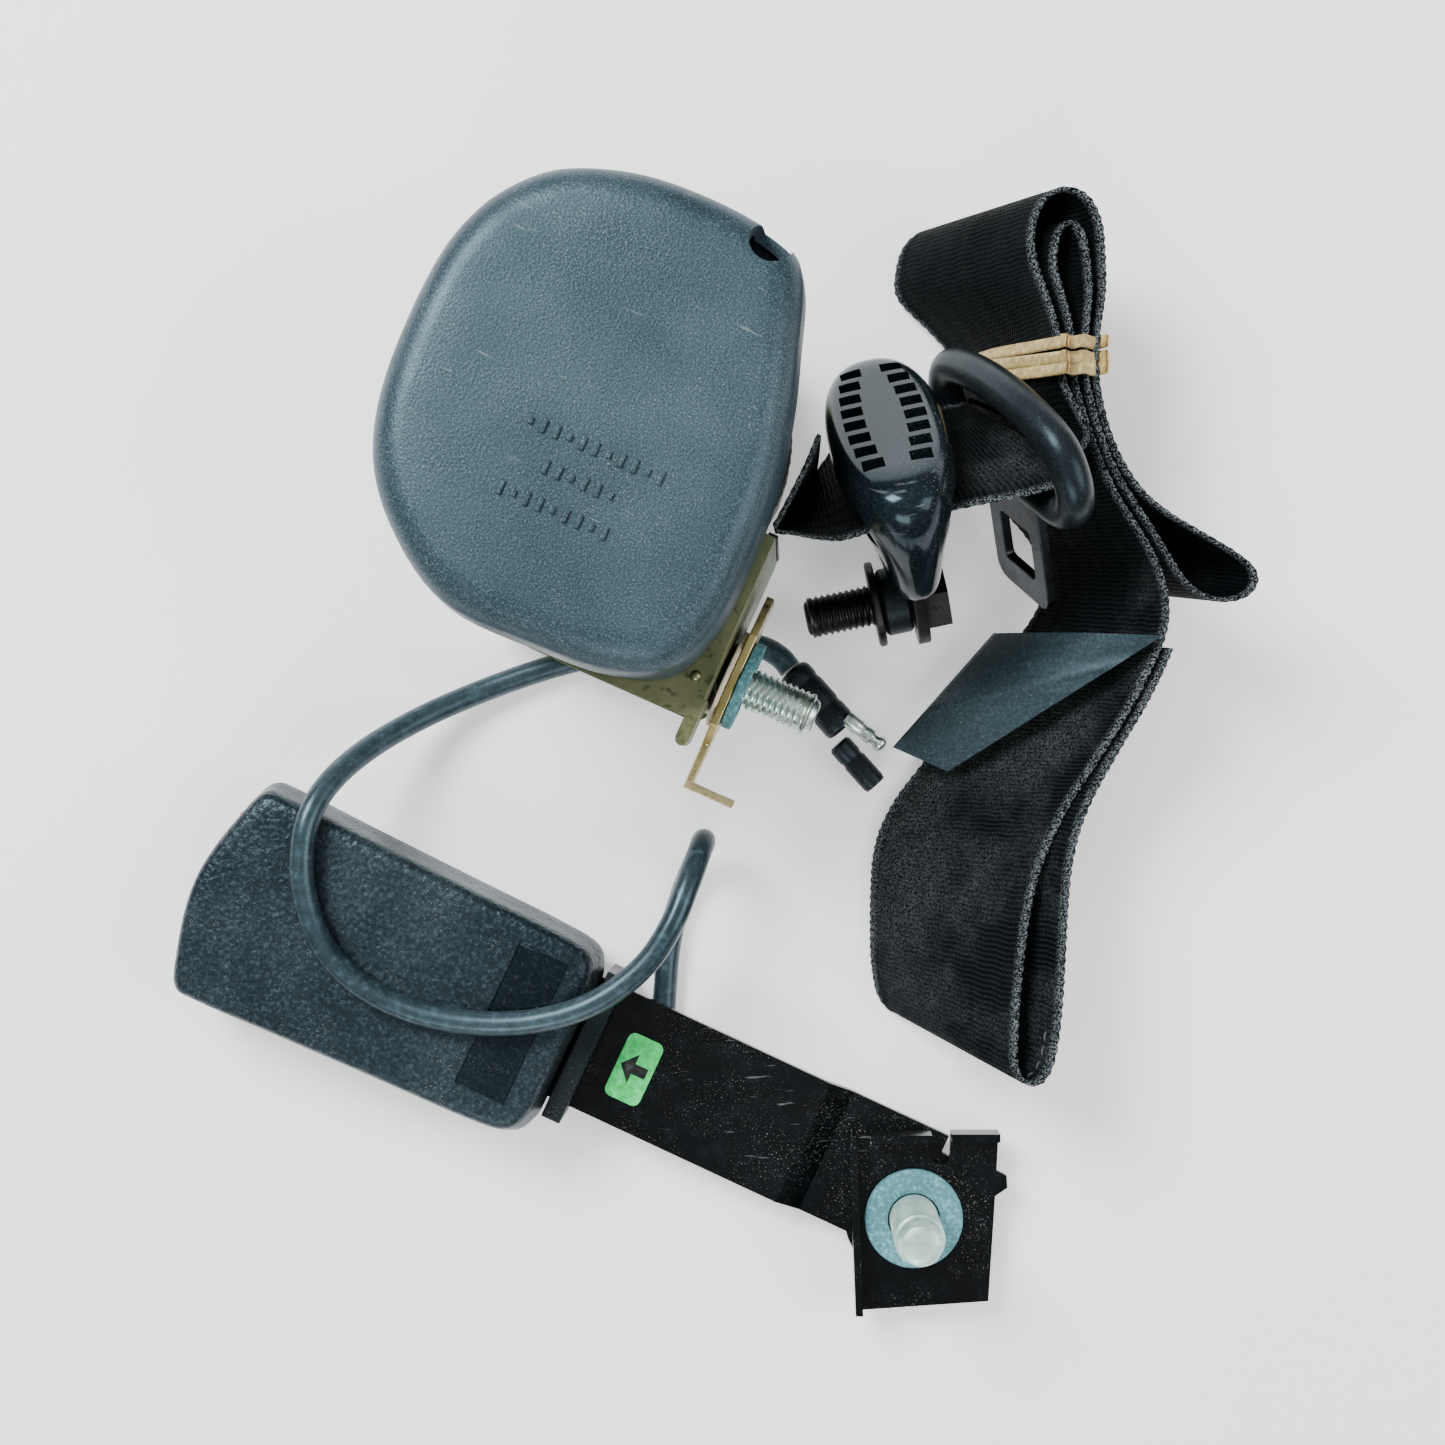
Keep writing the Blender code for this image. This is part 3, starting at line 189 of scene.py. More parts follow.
def moulded(name, dark, light, rough, grain_mm, grain_depth, dust=0.0, scratch=0.0, painted_grain_light=0.35, **sockets):
    """Grained plastic: colour drift, pebbled grain with painted shade in its pits and painted glints on its
    tips, dust spots and pale scuffs.
    """
    mat, tree, shader, where = start_material(name, **sockets)
    drift = noise(tree, where, 28, 4)
    fine = noise(tree, where, 900 / grain_mm, 2, 0.6)
    pebble = shader_node(tree, "ShaderNodeTexVoronoi", {"Vector": where, "Scale": 620 / grain_mm},
                         feature="SMOOTH_F1").outputs["Distance"]
    colour = blend_colours(tree, ramp(tree, drift, 0.35, 0.65), dark, light)
    # painted shade in the grain's low spots and painted glints on its high spots, both following the bump
    # height
    painted_pit_shade = product(tree, ramp(tree, fine, 0.5, 0.36), painted_grain_light)
    colour = blend_colours(tree, painted_pit_shade, colour, tuple(c * 0.3 for c in dark))
    painted_tip_glint = product(tree, ramp(tree, fine, 0.54, 0.7), painted_grain_light)
    colour = blend_colours(tree, painted_tip_glint, colour, tuple(min(1.0, c * 2.8) for c in light))
    if dust:
        spots = product(tree, ramp(tree, noise(tree, where, 2600, 1), 0.66, 0.76),
                        ramp(tree, noise(tree, where, 60, 3), 0.42, 0.62, 0, dust))
        colour = blend_colours(tree, spots, colour, (0.42, 0.4, 0.36))
    if scratch:
        stretched = shader_node(tree, "ShaderNodeMapping", {"Vector": where, "Scale": (1.0, 9.0, 1.0),
                                                            "Rotation": (0, 0, 0.7)}).outputs[0]
        lines = product(tree, ramp(tree, noise(tree, stretched, 120, 2), 0.68, 0.74),
                        ramp(tree, noise(tree, where, 34, 2), 0.5, 0.62, 0, scratch))
        colour = blend_colours(tree, lines, colour, (0.3, 0.31, 0.32))
    tree.links.new(colour, shader.inputs["Base Color"])
    tree.links.new(ramp(tree, noise(tree, where, 70, 3), 0.3, 0.7, rough - 0.06, rough + 0.08),
                   shader.inputs["Roughness"])
    bumped(tree, shader, [(pebble, grain_depth, 0.55), (fine, grain_depth * 0.7, 0.6)])
    return mat


def plated(name, dark, light, rough, tint=None, streak=(1.0, 1.0, 1.0), spots=0.0, metallic=1.0, **sockets):
    """Metal with brushed streaks, drifting plating colour and dull spots."""
    mat, tree, shader, where = start_material(name, metallic, **sockets)
    pulled = shader_node(tree, "ShaderNodeMapping", {"Vector": where, "Scale": streak}).outputs[0]
    lines = noise(tree, pulled, 700, 3, 0.6)
    drift = noise(tree, where, 55, 4, 0.6)
    colour = blend_colours(tree, ramp(tree, drift, 0.32, 0.68), dark, light)
    if tint:
        colour = blend_colours(tree, ramp(tree, noise(tree, where, 24, 3), 0.45, 0.7, 0, 0.8), colour, tint)
    if spots:
        dull = ramp(tree, noise(tree, where, 420, 4), 0.6, 0.68, 0, spots)
        colour = blend_colours(tree, dull, colour, tuple(c * 0.35 for c in dark))
    tree.links.new(colour, shader.inputs["Base Color"])
    tree.links.new(ramp(tree, lines, 0.3, 0.7, rough - 0.08, rough + 0.14), shader.inputs["Roughness"])
    bumped(tree, shader, [(lines, 0.03, 0.35), (drift, 0.08, 0.15)])
    return mat


def woven(name, dark, light, haze=0.0):
    """Seat-belt webbing on a UV map in centimetres: fine warp cords, slanted picks and bound edges."""
    turn, pick_pitch, cord_pitch, rib_pitch = 6.2832, 1.15, 1.0, 6.0
    mat, tree, shader, where = start_material(name, Specular_IOR_Level=0.04,
                                              Specular_Tint=(0.7, 0.9, 1.0, 1.0))
    flat = shader_node(tree, "ShaderNodeUVMap", uv_map="cloth").outputs[0]
    parts = shader_node(tree, "ShaderNodeSeparateXYZ", {"Vector": flat})
    along = product(tree, parts.outputs["X"], 10.0)     # millimetres
    across = product(tree, parts.outputs["Y"], 10.0)
    # the picks zigzag: their phase shifts with a triangle wave across the width
    zigzag = math_node(tree, "PINGPONG", across, 3.0)
    pick = math_node(tree, "ADD", product(tree, along, turn / pick_pitch),
                     product(tree, zigzag, 0.55))
    picks = math_node(tree, "SINE", pick)
    cords = math_node(tree, "SINE", product(tree, across, turn / cord_pitch))
    bands = math_node(tree, "SINE", product(tree, across, turn / rib_pitch))
    crossed = product(tree, picks,
                        math_node(tree, "ADD", product(tree, cords, 0.5), 0.6))
    height = math_node(tree, "ADD", crossed, product(tree, bands, 0.5))
    fuzz = noise(tree, where, 2400, 2)
    # painted light: the raised picks lighter as painted highlights and the dips between them darker as
    # painted shade, following the weave's height
    amount = product(tree, ramp(tree, crossed, -0.2, 1.1), ramp(tree, fuzz, 0.3, 0.7, 0.5, 1.0))
    colour = blend_colours(tree, amount, dark, light)
    # a pale haze: dust, which on the lead's webbing also stands for a painted highlight
    if haze:
        cloud = ramp(tree, noise(tree, where, 30, 5, 0.65), 0.46, 0.72, 0, haze)
        colour = blend_colours(tree, product(tree, cloud, ramp(tree, fuzz, 0.42, 0.62)), colour,
                               (0.1, 0.11, 0.11))
    # the bound selvedges catch the light in specks
    edge = math_node(tree, "MAXIMUM", ramp(tree, across, 2.4, 0.6), ramp(tree, across, 44.6, 46.4))
    specks = product(tree, edge, ramp(tree, fuzz, 0.47, 0.6, 0, 0.8))
    colour = blend_colours(tree, specks, colour, (0.16, 0.18, 0.19))
    tree.links.new(colour, shader.inputs["Base Color"])
    tree.links.new(ramp(tree, fuzz, 0.3, 0.7, 0.46, 0.7), shader.inputs["Roughness"])
    bumped(tree, shader, [(height, 0.16, 0.8), (fuzz, 0.05, 0.5)])
    return mat


COOL = (0.62, 0.88, 1.0, 1.0)


def cool(level):
    """A bluish sheen of the given strength."""
    return {"Specular_Tint": COOL, "Specular_IOR_Level": level}


COVER = moulded("cover_plastic", (0.014, 0.027, 0.034), (0.034, 0.056, 0.068), 0.4, 0.36, 0.1, 0.5, 0.4, 0.6,
                **cool(0.42))
SHELL = moulded("buckle_plastic", (0.007, 0.012, 0.015), (0.018, 0.027, 0.032), 0.34, 0.8, 0.32,
                0.4, 0.2, 0.5, **cool(0.3))
BLACK = moulded("black_plastic", (0.005, 0.006, 0.007), (0.012, 0.014, 0.015), 0.4, 0.6, 0.04, 0.3,
                **cool(0.25))
SATIN = moulded("grip_plastic", (0.004, 0.006, 0.007), (0.009, 0.012, 0.014), 0.34, 0.5, 0.03, 0.3,
                **cool(0.25))
GLOSS = moulded("loop_plastic", (0.003, 0.006, 0.008), (0.007, 0.012, 0.015), 0.16, 0.9, 0.012, 0.5,
                0.3, **cool(0.28))
GREY = moulded("grey_plastic", (0.17, 0.17, 0.17), (0.24, 0.24, 0.23), 0.55, 0.7, 0.02)
CREAM = moulded("cream_nylon", (0.66, 0.58, 0.42), (0.8, 0.73, 0.58), 0.45, 0.9, 0.02)
RED = moulded("red_plastic", (0.4, 0.012, 0.014), (0.55, 0.025, 0.02), 0.34, 0.8, 0.02)
FIBRE = moulded("fibre_blue", (0.08, 0.22, 0.25), (0.14, 0.33, 0.36), 0.78, 0.9, 0.03, 0.6,
                Specular_Tint=COOL)
LEAD = moulded("lead_jacket", (0.01, 0.02, 0.024), (0.024, 0.042, 0.05), 0.34, 2.0, 0.015, 0.3,
               Specular_Tint=COOL)
BAND = moulded("tan_rubber", (0.36, 0.24, 0.085), (0.52, 0.38, 0.16), 0.5, 1.2, 0.03,
               Subsurface_Weight=0.15, Subsurface_Scale=0.002)
VINYL = moulded("label_vinyl", (0.01, 0.018, 0.021), (0.022, 0.036, 0.042), 0.4, 0.7, 0.05, 0.35,
                **cool(0.35))
THREAD = moulded("stitch_thread", (0.02, 0.024, 0.026), (0.085, 0.095, 0.1), 0.5, 0.4, 0.03)
CHROMATE = plated("yellow_chromate", (0.1, 0.115, 0.055), (0.26, 0.27, 0.14), 0.34,
                  (0.12, 0.19, 0.11), spots=0.6)
GOLD = plated("gold_chromate", (0.42, 0.34, 0.13), (0.6, 0.52, 0.27), 0.3, (0.5, 0.42, 0.36), spots=0.3)
ZINC = plated("zinc_plate", (0.48, 0.58, 0.52), (0.78, 0.88, 0.82), 0.28, spots=0.5)
STEEL = plated("bare_steel", (0.3, 0.3, 0.31), (0.45, 0.45, 0.46), 0.32, streak=(1, 6, 1), spots=0.3)
# painted shade: bare steel darkened to stand for the tongue blade lying in shadow
SHADED_BLADE = plated("blade_steel_painted_shade", (0.03, 0.034, 0.038), (0.1, 0.11, 0.12), 0.34, streak=(1, 6, 1), spots=0.4)
DARK = plated("dark_steel", (0.02, 0.021, 0.021), (0.06, 0.058, 0.054), 0.4, spots=0.5)
COATED = plated("coated_stud", (0.38, 0.56, 0.5), (0.58, 0.78, 0.72), 0.42, (0.44, 0.56, 0.5), spots=0.4,
                metallic=0.55)
PAINT = moulded("black_paint", (0.0008, 0.0014, 0.0017), (0.003, 0.004, 0.0045), 0.2, 3.0, 0.012, 0.5, 0.4,
                Specular_IOR_Level=0.2)
STICKER = moulded("green_sticker", (0.035, 0.56, 0.13), (0.05, 0.68, 0.17), 0.45, 1.5, 0.01,
                  Specular_IOR_Level=0.1)
INK = moulded("sticker_ink", (0.01, 0.014, 0.01), (0.02, 0.024, 0.02), 0.5, 1.0, 0.01)
WEAVE = woven("webbing_weave", (0.0008, 0.001, 0.001), (0.007, 0.009, 0.01), 0.12)
# lighter, hazed webbing: real dust on the end loop, and on the lead its lighter grey is a painted highlight
WEAVE_DUST_AND_HIGHLIGHT = woven("webbing_weave_dust_and_highlight", (0.0012, 0.0016, 0.0018), (0.017, 0.023, 0.025), 0.6)


# ------------ shape helpers
def catmull(a, b, c, d, t):
    return 0.5 * (2 * b + (c - a) * t + (2 * a - 5 * b + 4 * c - d) * t ** 2
                  + (3 * b - a - 3 * c + d) * t ** 3)


def smooth(points, steps, closed=False):
    vectors = [Vector(p) for p in points]
    count = len(vectors)
    out = []
    for i in range(count if closed else count - 1):
        near = [i + k for k in (-1, 0, 1, 2)]
        a, b, c, d = (vectors[n % count if closed else min(max(n, 0), count - 1)] for n in near)
        out += [catmull(a, b, c, d, step / steps) for step in range(steps)]
    return out if closed else out + [vectors[-1]]


def blunt(value, power):
    return math.copysign(abs(value) ** power, value)


def skin(bm, rings, capped=True, joined=False):
    """Quads from ring to ring, with flat ends, or with the last ring joined to the first."""
    count = len(rings[0])
    for a, b in zip(rings, rings[1:] + rings[:1] if joined else rings[1:]):
        for i in range(count):
            j = (i + 1) % count
            bm.faces.new((a[i], a[j], b[j], b[i]))
    if capped:
        bm.faces.new(rings[0][::-1])
        bm.faces.new(rings[-1])
    return bm


def prism(outline, low, high):
    bm = bmesh.new()
    return skin(bm, [[bm.verts.new((x, y, z)) for x, y in outline] for z in (low, high)])


def placed(name, bm, matrix):
    """An object from a bmesh in millimetres."""
    bmesh.ops.scale(bm, vec=(MM,) * 3, verts=bm.verts)
    bmesh.ops.recalc_face_normals(bm, faces=bm.faces)
    mesh = bpy.data.meshes.new(name)
    bm.to_mesh(mesh)
    bm.free()
    obj = linked(name, mesh)
    obj.matrix_world = matrix
    return obj


def claimed(obj, body, nodes=(), slot=None):
    """Hang an object on its body, in place of its nodes."""
    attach(obj, body)
    if nodes:
        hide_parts(*nodes)
        slot = slot or next(s["material_slot"] for s in frame["record"]["subparts"] if s["node"] == nodes[0])
    return obj


def piece(name, bm, matrix, mat, body, nodes=(), slot=None, angle=35):
    """A new named piece from a bmesh in millimetres."""
    obj = placed(name, bm, matrix)
    obj.data.materials.append(mat)
    obj.data.shade_smooth()
    obj.data.set_sharp_from_angle(angle=math.radians(angle))
    return claimed(obj, body, nodes, slot)


def apply_modifiers(obj):
    graph = bpy.context.evaluated_depsgraph_get()
    graph.update()
    made = bpy.data.meshes.new_from_object(obj.evaluated_get(graph))
    obj.modifiers.clear()
    obj.data = made


def bevelled(obj, width, segments=2, angle=30):
    modifier = obj.modifiers.new("edge", "BEVEL")
    modifier.width, modifier.segments = width * MM, segments
    modifier.limit_method, modifier.angle_limit = "ANGLE", math.radians(angle)
    modifier.harden_normals = False
    obj.modifiers.new("flats", "WEIGHTED_NORMAL").keep_sharp = True
    return obj


def cut(obj, cutter_bm, matrix):
    cutter = placed("cutter", cutter_bm, matrix)
    modifier = obj.modifiers.new("cut", "BOOLEAN")
    modifier.operation, modifier.object = "DIFFERENCE", cutter
    bpy.context.view_layer.update()
    apply_modifiers(obj)
    bpy.data.objects.remove(cutter)
    obj.data.shade_smooth()
    obj.data.set_sharp_from_angle(angle=math.radians(32))


def box(low, high, bm=None):
    bm = bm or bmesh.new()
    low, high = Vector(low), Vector(high)
    middle, size = (low + high) / 2, high - low
    bmesh.ops.create_cube(bm, size=1, matrix=Matrix.Translation(middle) @ Matrix.Diagonal((*size, 1)))
    return bm


def cylinder(radius, low, high, sides, bm=None, at=(0, 0)):
    bm = bm or bmesh.new()
    bmesh.ops.create_cone(bm, cap_ends=True, segments=sides, radius1=radius, radius2=radius,
                          depth=high - low, matrix=Matrix.Translation((*at, (low + high) / 2)))
    return bm


def circle(bm, radius, height, sides):
    turns = [2 * math.pi * i / sides for i in range(sides)]
    return [bm.verts.new((radius * math.cos(a), radius * math.sin(a), height)) for a in turns]


def turned(profile, sides=64):
    """A closed profile of (radius, height) turned round Z."""
    bm = bmesh.new()
    rings = [circle(bm, radius, height, sides if radius > 1e-6 else 1) for radius, height in profile]
    for a, b in zip(rings, rings[1:] + rings[:1]):
        for i in range(sides):
            j = (i + 1) % sides
            corners = [a[i % len(a)], a[j % len(a)], b[j % len(b)], b[i % len(b)]]
            unique = list(dict.fromkeys(corners))
            if len(unique) > 2:
                bm.faces.new(unique)
    return bm


def washer(name, matrix, inner, outer, low, high, mat, body, round_edge=0.25):
    e = min(round_edge, (high - low) / 2.2)
    profile = [(inner, low), (outer - e, low), (outer, low + e), (outer, high - e), (outer - e, high),
               (inner, high)]
    return piece(name, turned(profile, 72), matrix, mat, body, [name], angle=25)


def threaded(bm, radius, low, high, pitch, depth, tip, sides=48):
    """A threaded shank along Z with a plain rounded tip above it."""
    rows = int((high - low) / pitch * 6)
    rings = []
    for k in range(rows + 1):
        z = low + (high - low) * k / rows
        fade = min(1.0, (high - z) / pitch, (z - low) / pitch + 0.2)
        ring = []
        for i in range(sides):
            phase = (z / pitch - i / sides) % 1.0
            wave = abs(phase - 0.5) * 2
            r = radius - depth * max(0.0, min(1.0, wave * 1.5 - 0.25)) * max(fade, 0)
            a = 2 * math.pi * i / sides
            ring.append(bm.verts.new((r * math.cos(a), r * math.sin(a), z)))
        rings.append(ring)
    rings += [circle(bm, r, z, sides) for r, z in tip]
    return skin(bm, rings)


def softened(node, width, mat, segments=2):
    """The CAD solid's own shape with rounded edges, standing for its node."""
    source = NODES[node]
    same_place, same_plane = 2e-6, math.radians(1.0)
    bm = bmesh.new()
    bm.from_mesh(source.data)
    bmesh.ops.remove_doubles(bm, verts=bm.verts, dist=same_place)
    bmesh.ops.dissolve_limit(bm, angle_limit=same_plane, verts=bm.verts, edges=bm.edges)
    bmesh.ops.scale(bm, vec=(1 / MM,) * 3, verts=bm.verts)
    obj = piece(node + "_skin", bm, WORLD, mat, source["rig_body"], [node], angle=180)
    return bevelled(obj, width, segments, 25)


def carried(mat, *names):
    for name in names:
        obj = NODES[name]
        if not obj.material_slots:
            obj.data.materials.append(mat)
        for s in obj.material_slots:
            s.material = mat


def tube(name, points, radius, mat, body, nodes=(), steps=4, sides=6):
    curve = bpy.data.curves.new(name, "CURVE")
    curve.dimensions = "3D"
    curve.bevel_depth, curve.bevel_resolution = radius * MM, sides
    curve.use_fill_caps = True
    run = smooth(points, steps) if steps > 1 else points
    spline = curve.splines.new("POLY")
    spline.points.add(len(run) - 1)
    for point, place in zip(spline.points, run):
        point.co = (*(Vector(place) * MM), 1)
    spline.use_smooth = True
    curve.materials.append(mat)
    return claimed(linked(name, curve), body, nodes)


# ------------ lead
LEAD_ROUTE = [
    (-29.2, -69.9, 4.4), (-24.3, -71.5, 4.4), (-18.8, -70.6, 4.2), (-14.6, -66.8, 3.8),
    (-12.4, -60.9, 3.4), (-11.8, -53.8, 3.2), (-11.2, -45.8, 3.2), (-9.8, -37.4, 3.2),
    (-7.4, -29.4, 3.8), (-4.6, -22.6, 6.8), (-2.2, -17.6, 12.4), (-1.6, -16.0, 18.6),
    (-2.6, -19.4, 25.2), (-5.0, -26.4, 29.8), (-8.2, -34.6, 31.6), (-13.4, -43.0, 31.8),
    (-20.8, -49.8, 31.6), (-30.0, -54.9, 31.4), (-41.4, -57.8, 31.2), (-53.2, -58.2, 31.0),
    (-65.0, -56.5, 31.0), (-75.8, -52.6, 31.0), (-84.9, -46.4, 31.0), (-91.0, -38.4, 31.0),
    (-94.2, -29.0, 31.0), (-95.0, -19.4, 31.2), (-93.4, -10.0, 30.8), (-89.2, -1.6, 26.6),
    (-81.8, 6.4, 18.4), (-70.6, 14.0, 10.0), (-56.8, 20.6, 4.8), (-42.0, 26.0, 3.2),
    (-27.0, 29.8, 3.2), (-12.0, 31.6, 3.2), (1.6, 32.4, 3.6), (11.4, 31.6, 4.8), (16.6, 29.0, 5.8),
    (19.3, 25.9, 6.2),
]


def spun(name, start, end, profile, mat, nodes, sides=40):
    """A turned piece along a line; the profile is (radius, share of the length)."""
    a, b = Vector(start), Vector(end)
    length = (b - a).length
    matrix = Matrix.Translation(a * MM) @ (b - a).to_track_quat("Z", "Y").to_matrix().to_4x4()
    shape = turned([(r, share * length) for r, share in profile], sides)
    return piece(name, shape, matrix, mat, "buckle", nodes, angle=40)


lead = tube("lead", LEAD_ROUTE, 2.9, LEAD, "buckle", ["buckle_lead"], steps=5, sides=5)
sleeve = spun("sleeve", (19.7, 25.44, 6.3), (32.2, 11.2, 8.0), [
    (0, 0.0), (3.3, 0.0), (4.0, 0.03), (4.35, 0.08), (4.35, 0.2), (4.1, 0.23), (4.1, 0.27), (4.35, 0.3),
    (4.35, 0.62), (4.1, 0.65), (4.1, 0.69), (4.35, 0.72), (4.35, 0.94), (4.0, 0.99), (3.4, 1.0), (3.0, 0.97),
    (0, 0.97)], BLACK, ["lead_sleeve"])
plug = spun("plug", (33.0, 13.9, 10.55), (42.2, 6.6, 11.0), [
    (0, 0.0), (1.9, 0.0), (2.0, 0.04), (2.0, 0.34), (1.75, 0.38), (1.75, 0.5), (1.95, 0.54), (1.95, 0.66),
    (1.35, 0.71), (1.35, 0.78), (1.9, 0.84), (1.95, 0.9), (1.6, 0.96), (0.9, 1.0), (0, 1.0)],
    ZINC, ["bullet_plug"])
socket = spun("socket", (31.2, 7.6, 5.4), (40.4, -2.6, 4.6), [
    (0, 0.0), (2.4, 0.0), (3.0, 0.05), (3.05, 0.3), (2.8, 0.34), (2.8, 0.4), (3.05, 0.44), (3.05, 0.93),
    (2.8, 1.0), (2.1, 1.0), (1.9, 0.95), (1.9, 0.55), (0, 0.55)], BLACK, ["bullet_socket"])


# ------------ webbing
LAY_Z = 2.5                         # the webbing's lower edge over the table
TOP_LEAN, NECK_LEAN, BAND_LEAN = (29.0, 0.0, 36.0), (23.5, 0.0, 40.7), (18.0, 0.0, 43.4)
FAR_LEAN = (25.0, -7.0, 39.0)
STRAND = [
    ((25.4, 73.6, 41.5), (0.0, 0.0, 1.0)), ((22.9, 67.6, 41.5), (0.0, 0.0, 1.0)),
    ((20.0, 62.4, 41.4), (0.0, -0.03, 1.0)), ((16.9, 57.6, 41.2), (0.0, -0.08, 1.0)),
    ((15.8, 56.2, 41.1), (0.0, -0.1, 1.0)), ((16.3, 55.5, 41.0), (0.0, -0.12, 1.0)),
    ((19.0, 56.6, 40.6), (0.01, -0.18, 0.98)), ((23.6, 59.6, 39.4), (0.04, -0.34, 0.93)),
    ((29.0, 63.4, 37.8), (0.07, -0.5, 0.86)), ((35.4, 68.0, 36.4), (0.1, -0.59, 0.8)),
    ((43.0, 71.0, 36.0), (0.098, -0.602, 0.791)), ((50.4, 72.6, 36.1), (0.15, -0.6, 0.785)),
    ((57.0, 73.9, 36.4), (0.25, -0.58, 0.775)), ((63.4, 75.0, 36.6), (0.36, -0.55, 0.755)),
    ((69.5, 76.4, 36.5), (0.42, -0.52, 0.744)),
]
FOLDS = [
    ((84.6, 72.6), (22.0, -18.0, 36.5), 15.0), ((86.4, 76.2), (22.5, -13.0, 39.0), 9.5),
    ((84.8, 81.6), (21.5, -8.0, 41.0), 5.4), ((82.0, 87.4), (19.5, -3.0, 42.8), 3.2),
    ((80.4, 93.0), BAND_LEAN), ((79.7, 101.0), BAND_LEAN), ((77.5, 110.0), NECK_LEAN),
    ((75.7, 118.0), TOP_LEAN), ((75.2, 125.0), TOP_LEAN), ((77.4, 131.4), TOP_LEAN),
    ((82.2, 134.6), TOP_LEAN), ((87.4, 133.0), TOP_LEAN), ((90.6, 127.0), TOP_LEAN),
    ((91.4, 119.0), TOP_LEAN), ((90.8, 110.0), NECK_LEAN), ((89.2, 101.0), BAND_LEAN),
    ((88.6, 93.0), BAND_LEAN), ((89.9, 84.4), (20.0, -1.0, 42.5)), ((92.4, 76.6), (22.5, -2.0, 41.2)),
    ((95.9, 69.6), (23.4, -3.0, 40.8)), ((100.2, 63.8), (23.0, -4.0, 41.0)),
    ((105.4, 59.6), (23.4, -5.0, 40.6)), ((110.8, 56.4), (24.2, -6.0, 40.0)),
    ((116.2, 53.4), (24.6, -6.6, 39.4)), ((121.2, 50.4), FAR_LEAN),
    ((125.0, 47.2), FAR_LEAN), ((125.8, 43.8), FAR_LEAN),
    ((123.4, 40.8), FAR_LEAN), ((118.6, 39.8), FAR_LEAN),
    ((113.2, 41.2), (24.4, -6.6, 39.6)), ((108.6, 45.0), (23.0, -6.0, 40.6)),
    ((104.9, 50.6), (21.6, -5.0, 41.6)), ((101.0, 56.8), (21.6, -4.0, 41.6)),
    ((97.2, 62.8), (22.4, -3.0, 41.2)), ((93.4, 69.4), (23.0, -2.2, 41.0)),
    ((90.4, 76.8), (22.6, -1.4, 41.2)), ((87.7, 85.0), (20.2, -0.6, 42.5)),
    ((86.1, 93.0), BAND_LEAN), ((86.5, 101.0), BAND_LEAN), ((87.7, 110.0), NECK_LEAN),
    ((88.0, 117.4), TOP_LEAN), ((86.8, 124.0), TOP_LEAN), ((84.2, 127.0), TOP_LEAN),
    ((81.3, 124.4), TOP_LEAN), ((80.2, 117.6), TOP_LEAN), ((81.2, 110.0), NECK_LEAN),
    ((82.9, 101.0), BAND_LEAN), ((83.4, 93.0), BAND_LEAN),
]
END_LOOP = [
    ((83.5, 91.6), BAND_LEAN), ((85.2, 84.8), (20.4, -0.8, 42.5)), ((88.2, 76.4), (22.8, -1.6, 41.2)),
    ((91.0, 69.4), (23.4, -2.4, 40.8)), ((94.2, 62.6), (22.0, -3.2, 41.4)),
    ((98.0, 56.4), (21.0, -4.0, 42.0)), ((101.6, 50.2), (21.0, -4.6, 42.0)),
    ((104.2, 44.0), (22.0, -5.0, 41.2)), ((105.4, 37.2), (24.0, -5.0, 40.0)),
    ((104.6, 30.6), (27.0, -5.0, 38.0)), ((101.8, 23.4), (30.5, -4.0, 35.5)),
    ((98.4, 15.8), (33.5, -3.0, 32.8)), ((94.2, 8.2), (36.2, -2.0, 30.0)),
    ((89.8, 0.8), (38.2, -1.0, 27.6)), ((85.2, -6.6), (39.2, -1.0, 26.0)),
    ((81.2, -14.6), (39.2, -1.6, 26.0)), ((77.4, -23.0), (37.4, -2.6, 28.4)),
    ((75.0, -32.0), (35.6, -4.0, 30.6)), ((73.4, -42.0), (34.2, -5.6, 32.0)),
    ((72.3, -52.0), (33.0, -7.6, 32.8)), ((71.7, -60.6), (31.6, -9.8, 33.4)),
    ((71.6, -67.0), (30.4, -12.0, 33.8)), ((73.4, -71.0), (29.8, -13.0, 34.0)),
    ((76.8, -71.6), (29.8, -13.0, 34.0)), ((79.6, -68.0), (30.4, -12.0, 33.8)),
    ((81.2, -61.0), (31.4, -9.8, 33.4)), ((82.2, -52.0), (32.6, -7.8, 33.0)),
    ((82.9, -42.0), (33.8, -5.8, 32.4)), ((83.6, -32.0), (35.0, -4.2, 31.2)),
    ((84.6, -23.0), (36.4, -2.8, 29.8)), ((86.6, -14.4), (37.8, -1.8, 28.2)),
    ((89.7, -6.4), (38.2, -1.2, 27.6)), ((93.5, 1.0), (37.6, -1.4, 28.6)),
    ((97.4, 8.2), (36.2, -2.0, 30.0)), ((101.2, 15.4), (33.6, -3.0, 32.8)),
    ((104.5, 22.6), (30.8, -4.0, 35.2)), ((106.8, 28.8), (28.0, -4.6, 37.2)),
]


def edge_rows(stations, steps=8):
    flat = []
    for (x, y), lean, *lift in stations:
        lean = Vector(lean).normalized() * WEB_WIDTH
        upper = Vector((x, y, (lift[0] if lift else LAY_Z) + lean.z))
        flat.append((upper - lean, upper))
    return list(zip(smooth([row[0] for row in flat], steps), smooth([row[1] for row in flat], steps)))


def strand_rows(steps=8):
    half = WEB_WIDTH / 2
    centres, widths = smooth([r[0] for r in STRAND], steps), smooth([r[1] for r in STRAND], steps)
    return [(c - w.normalized() * half, c + w.normalized() * half) for c, w in zip(centres, widths)]


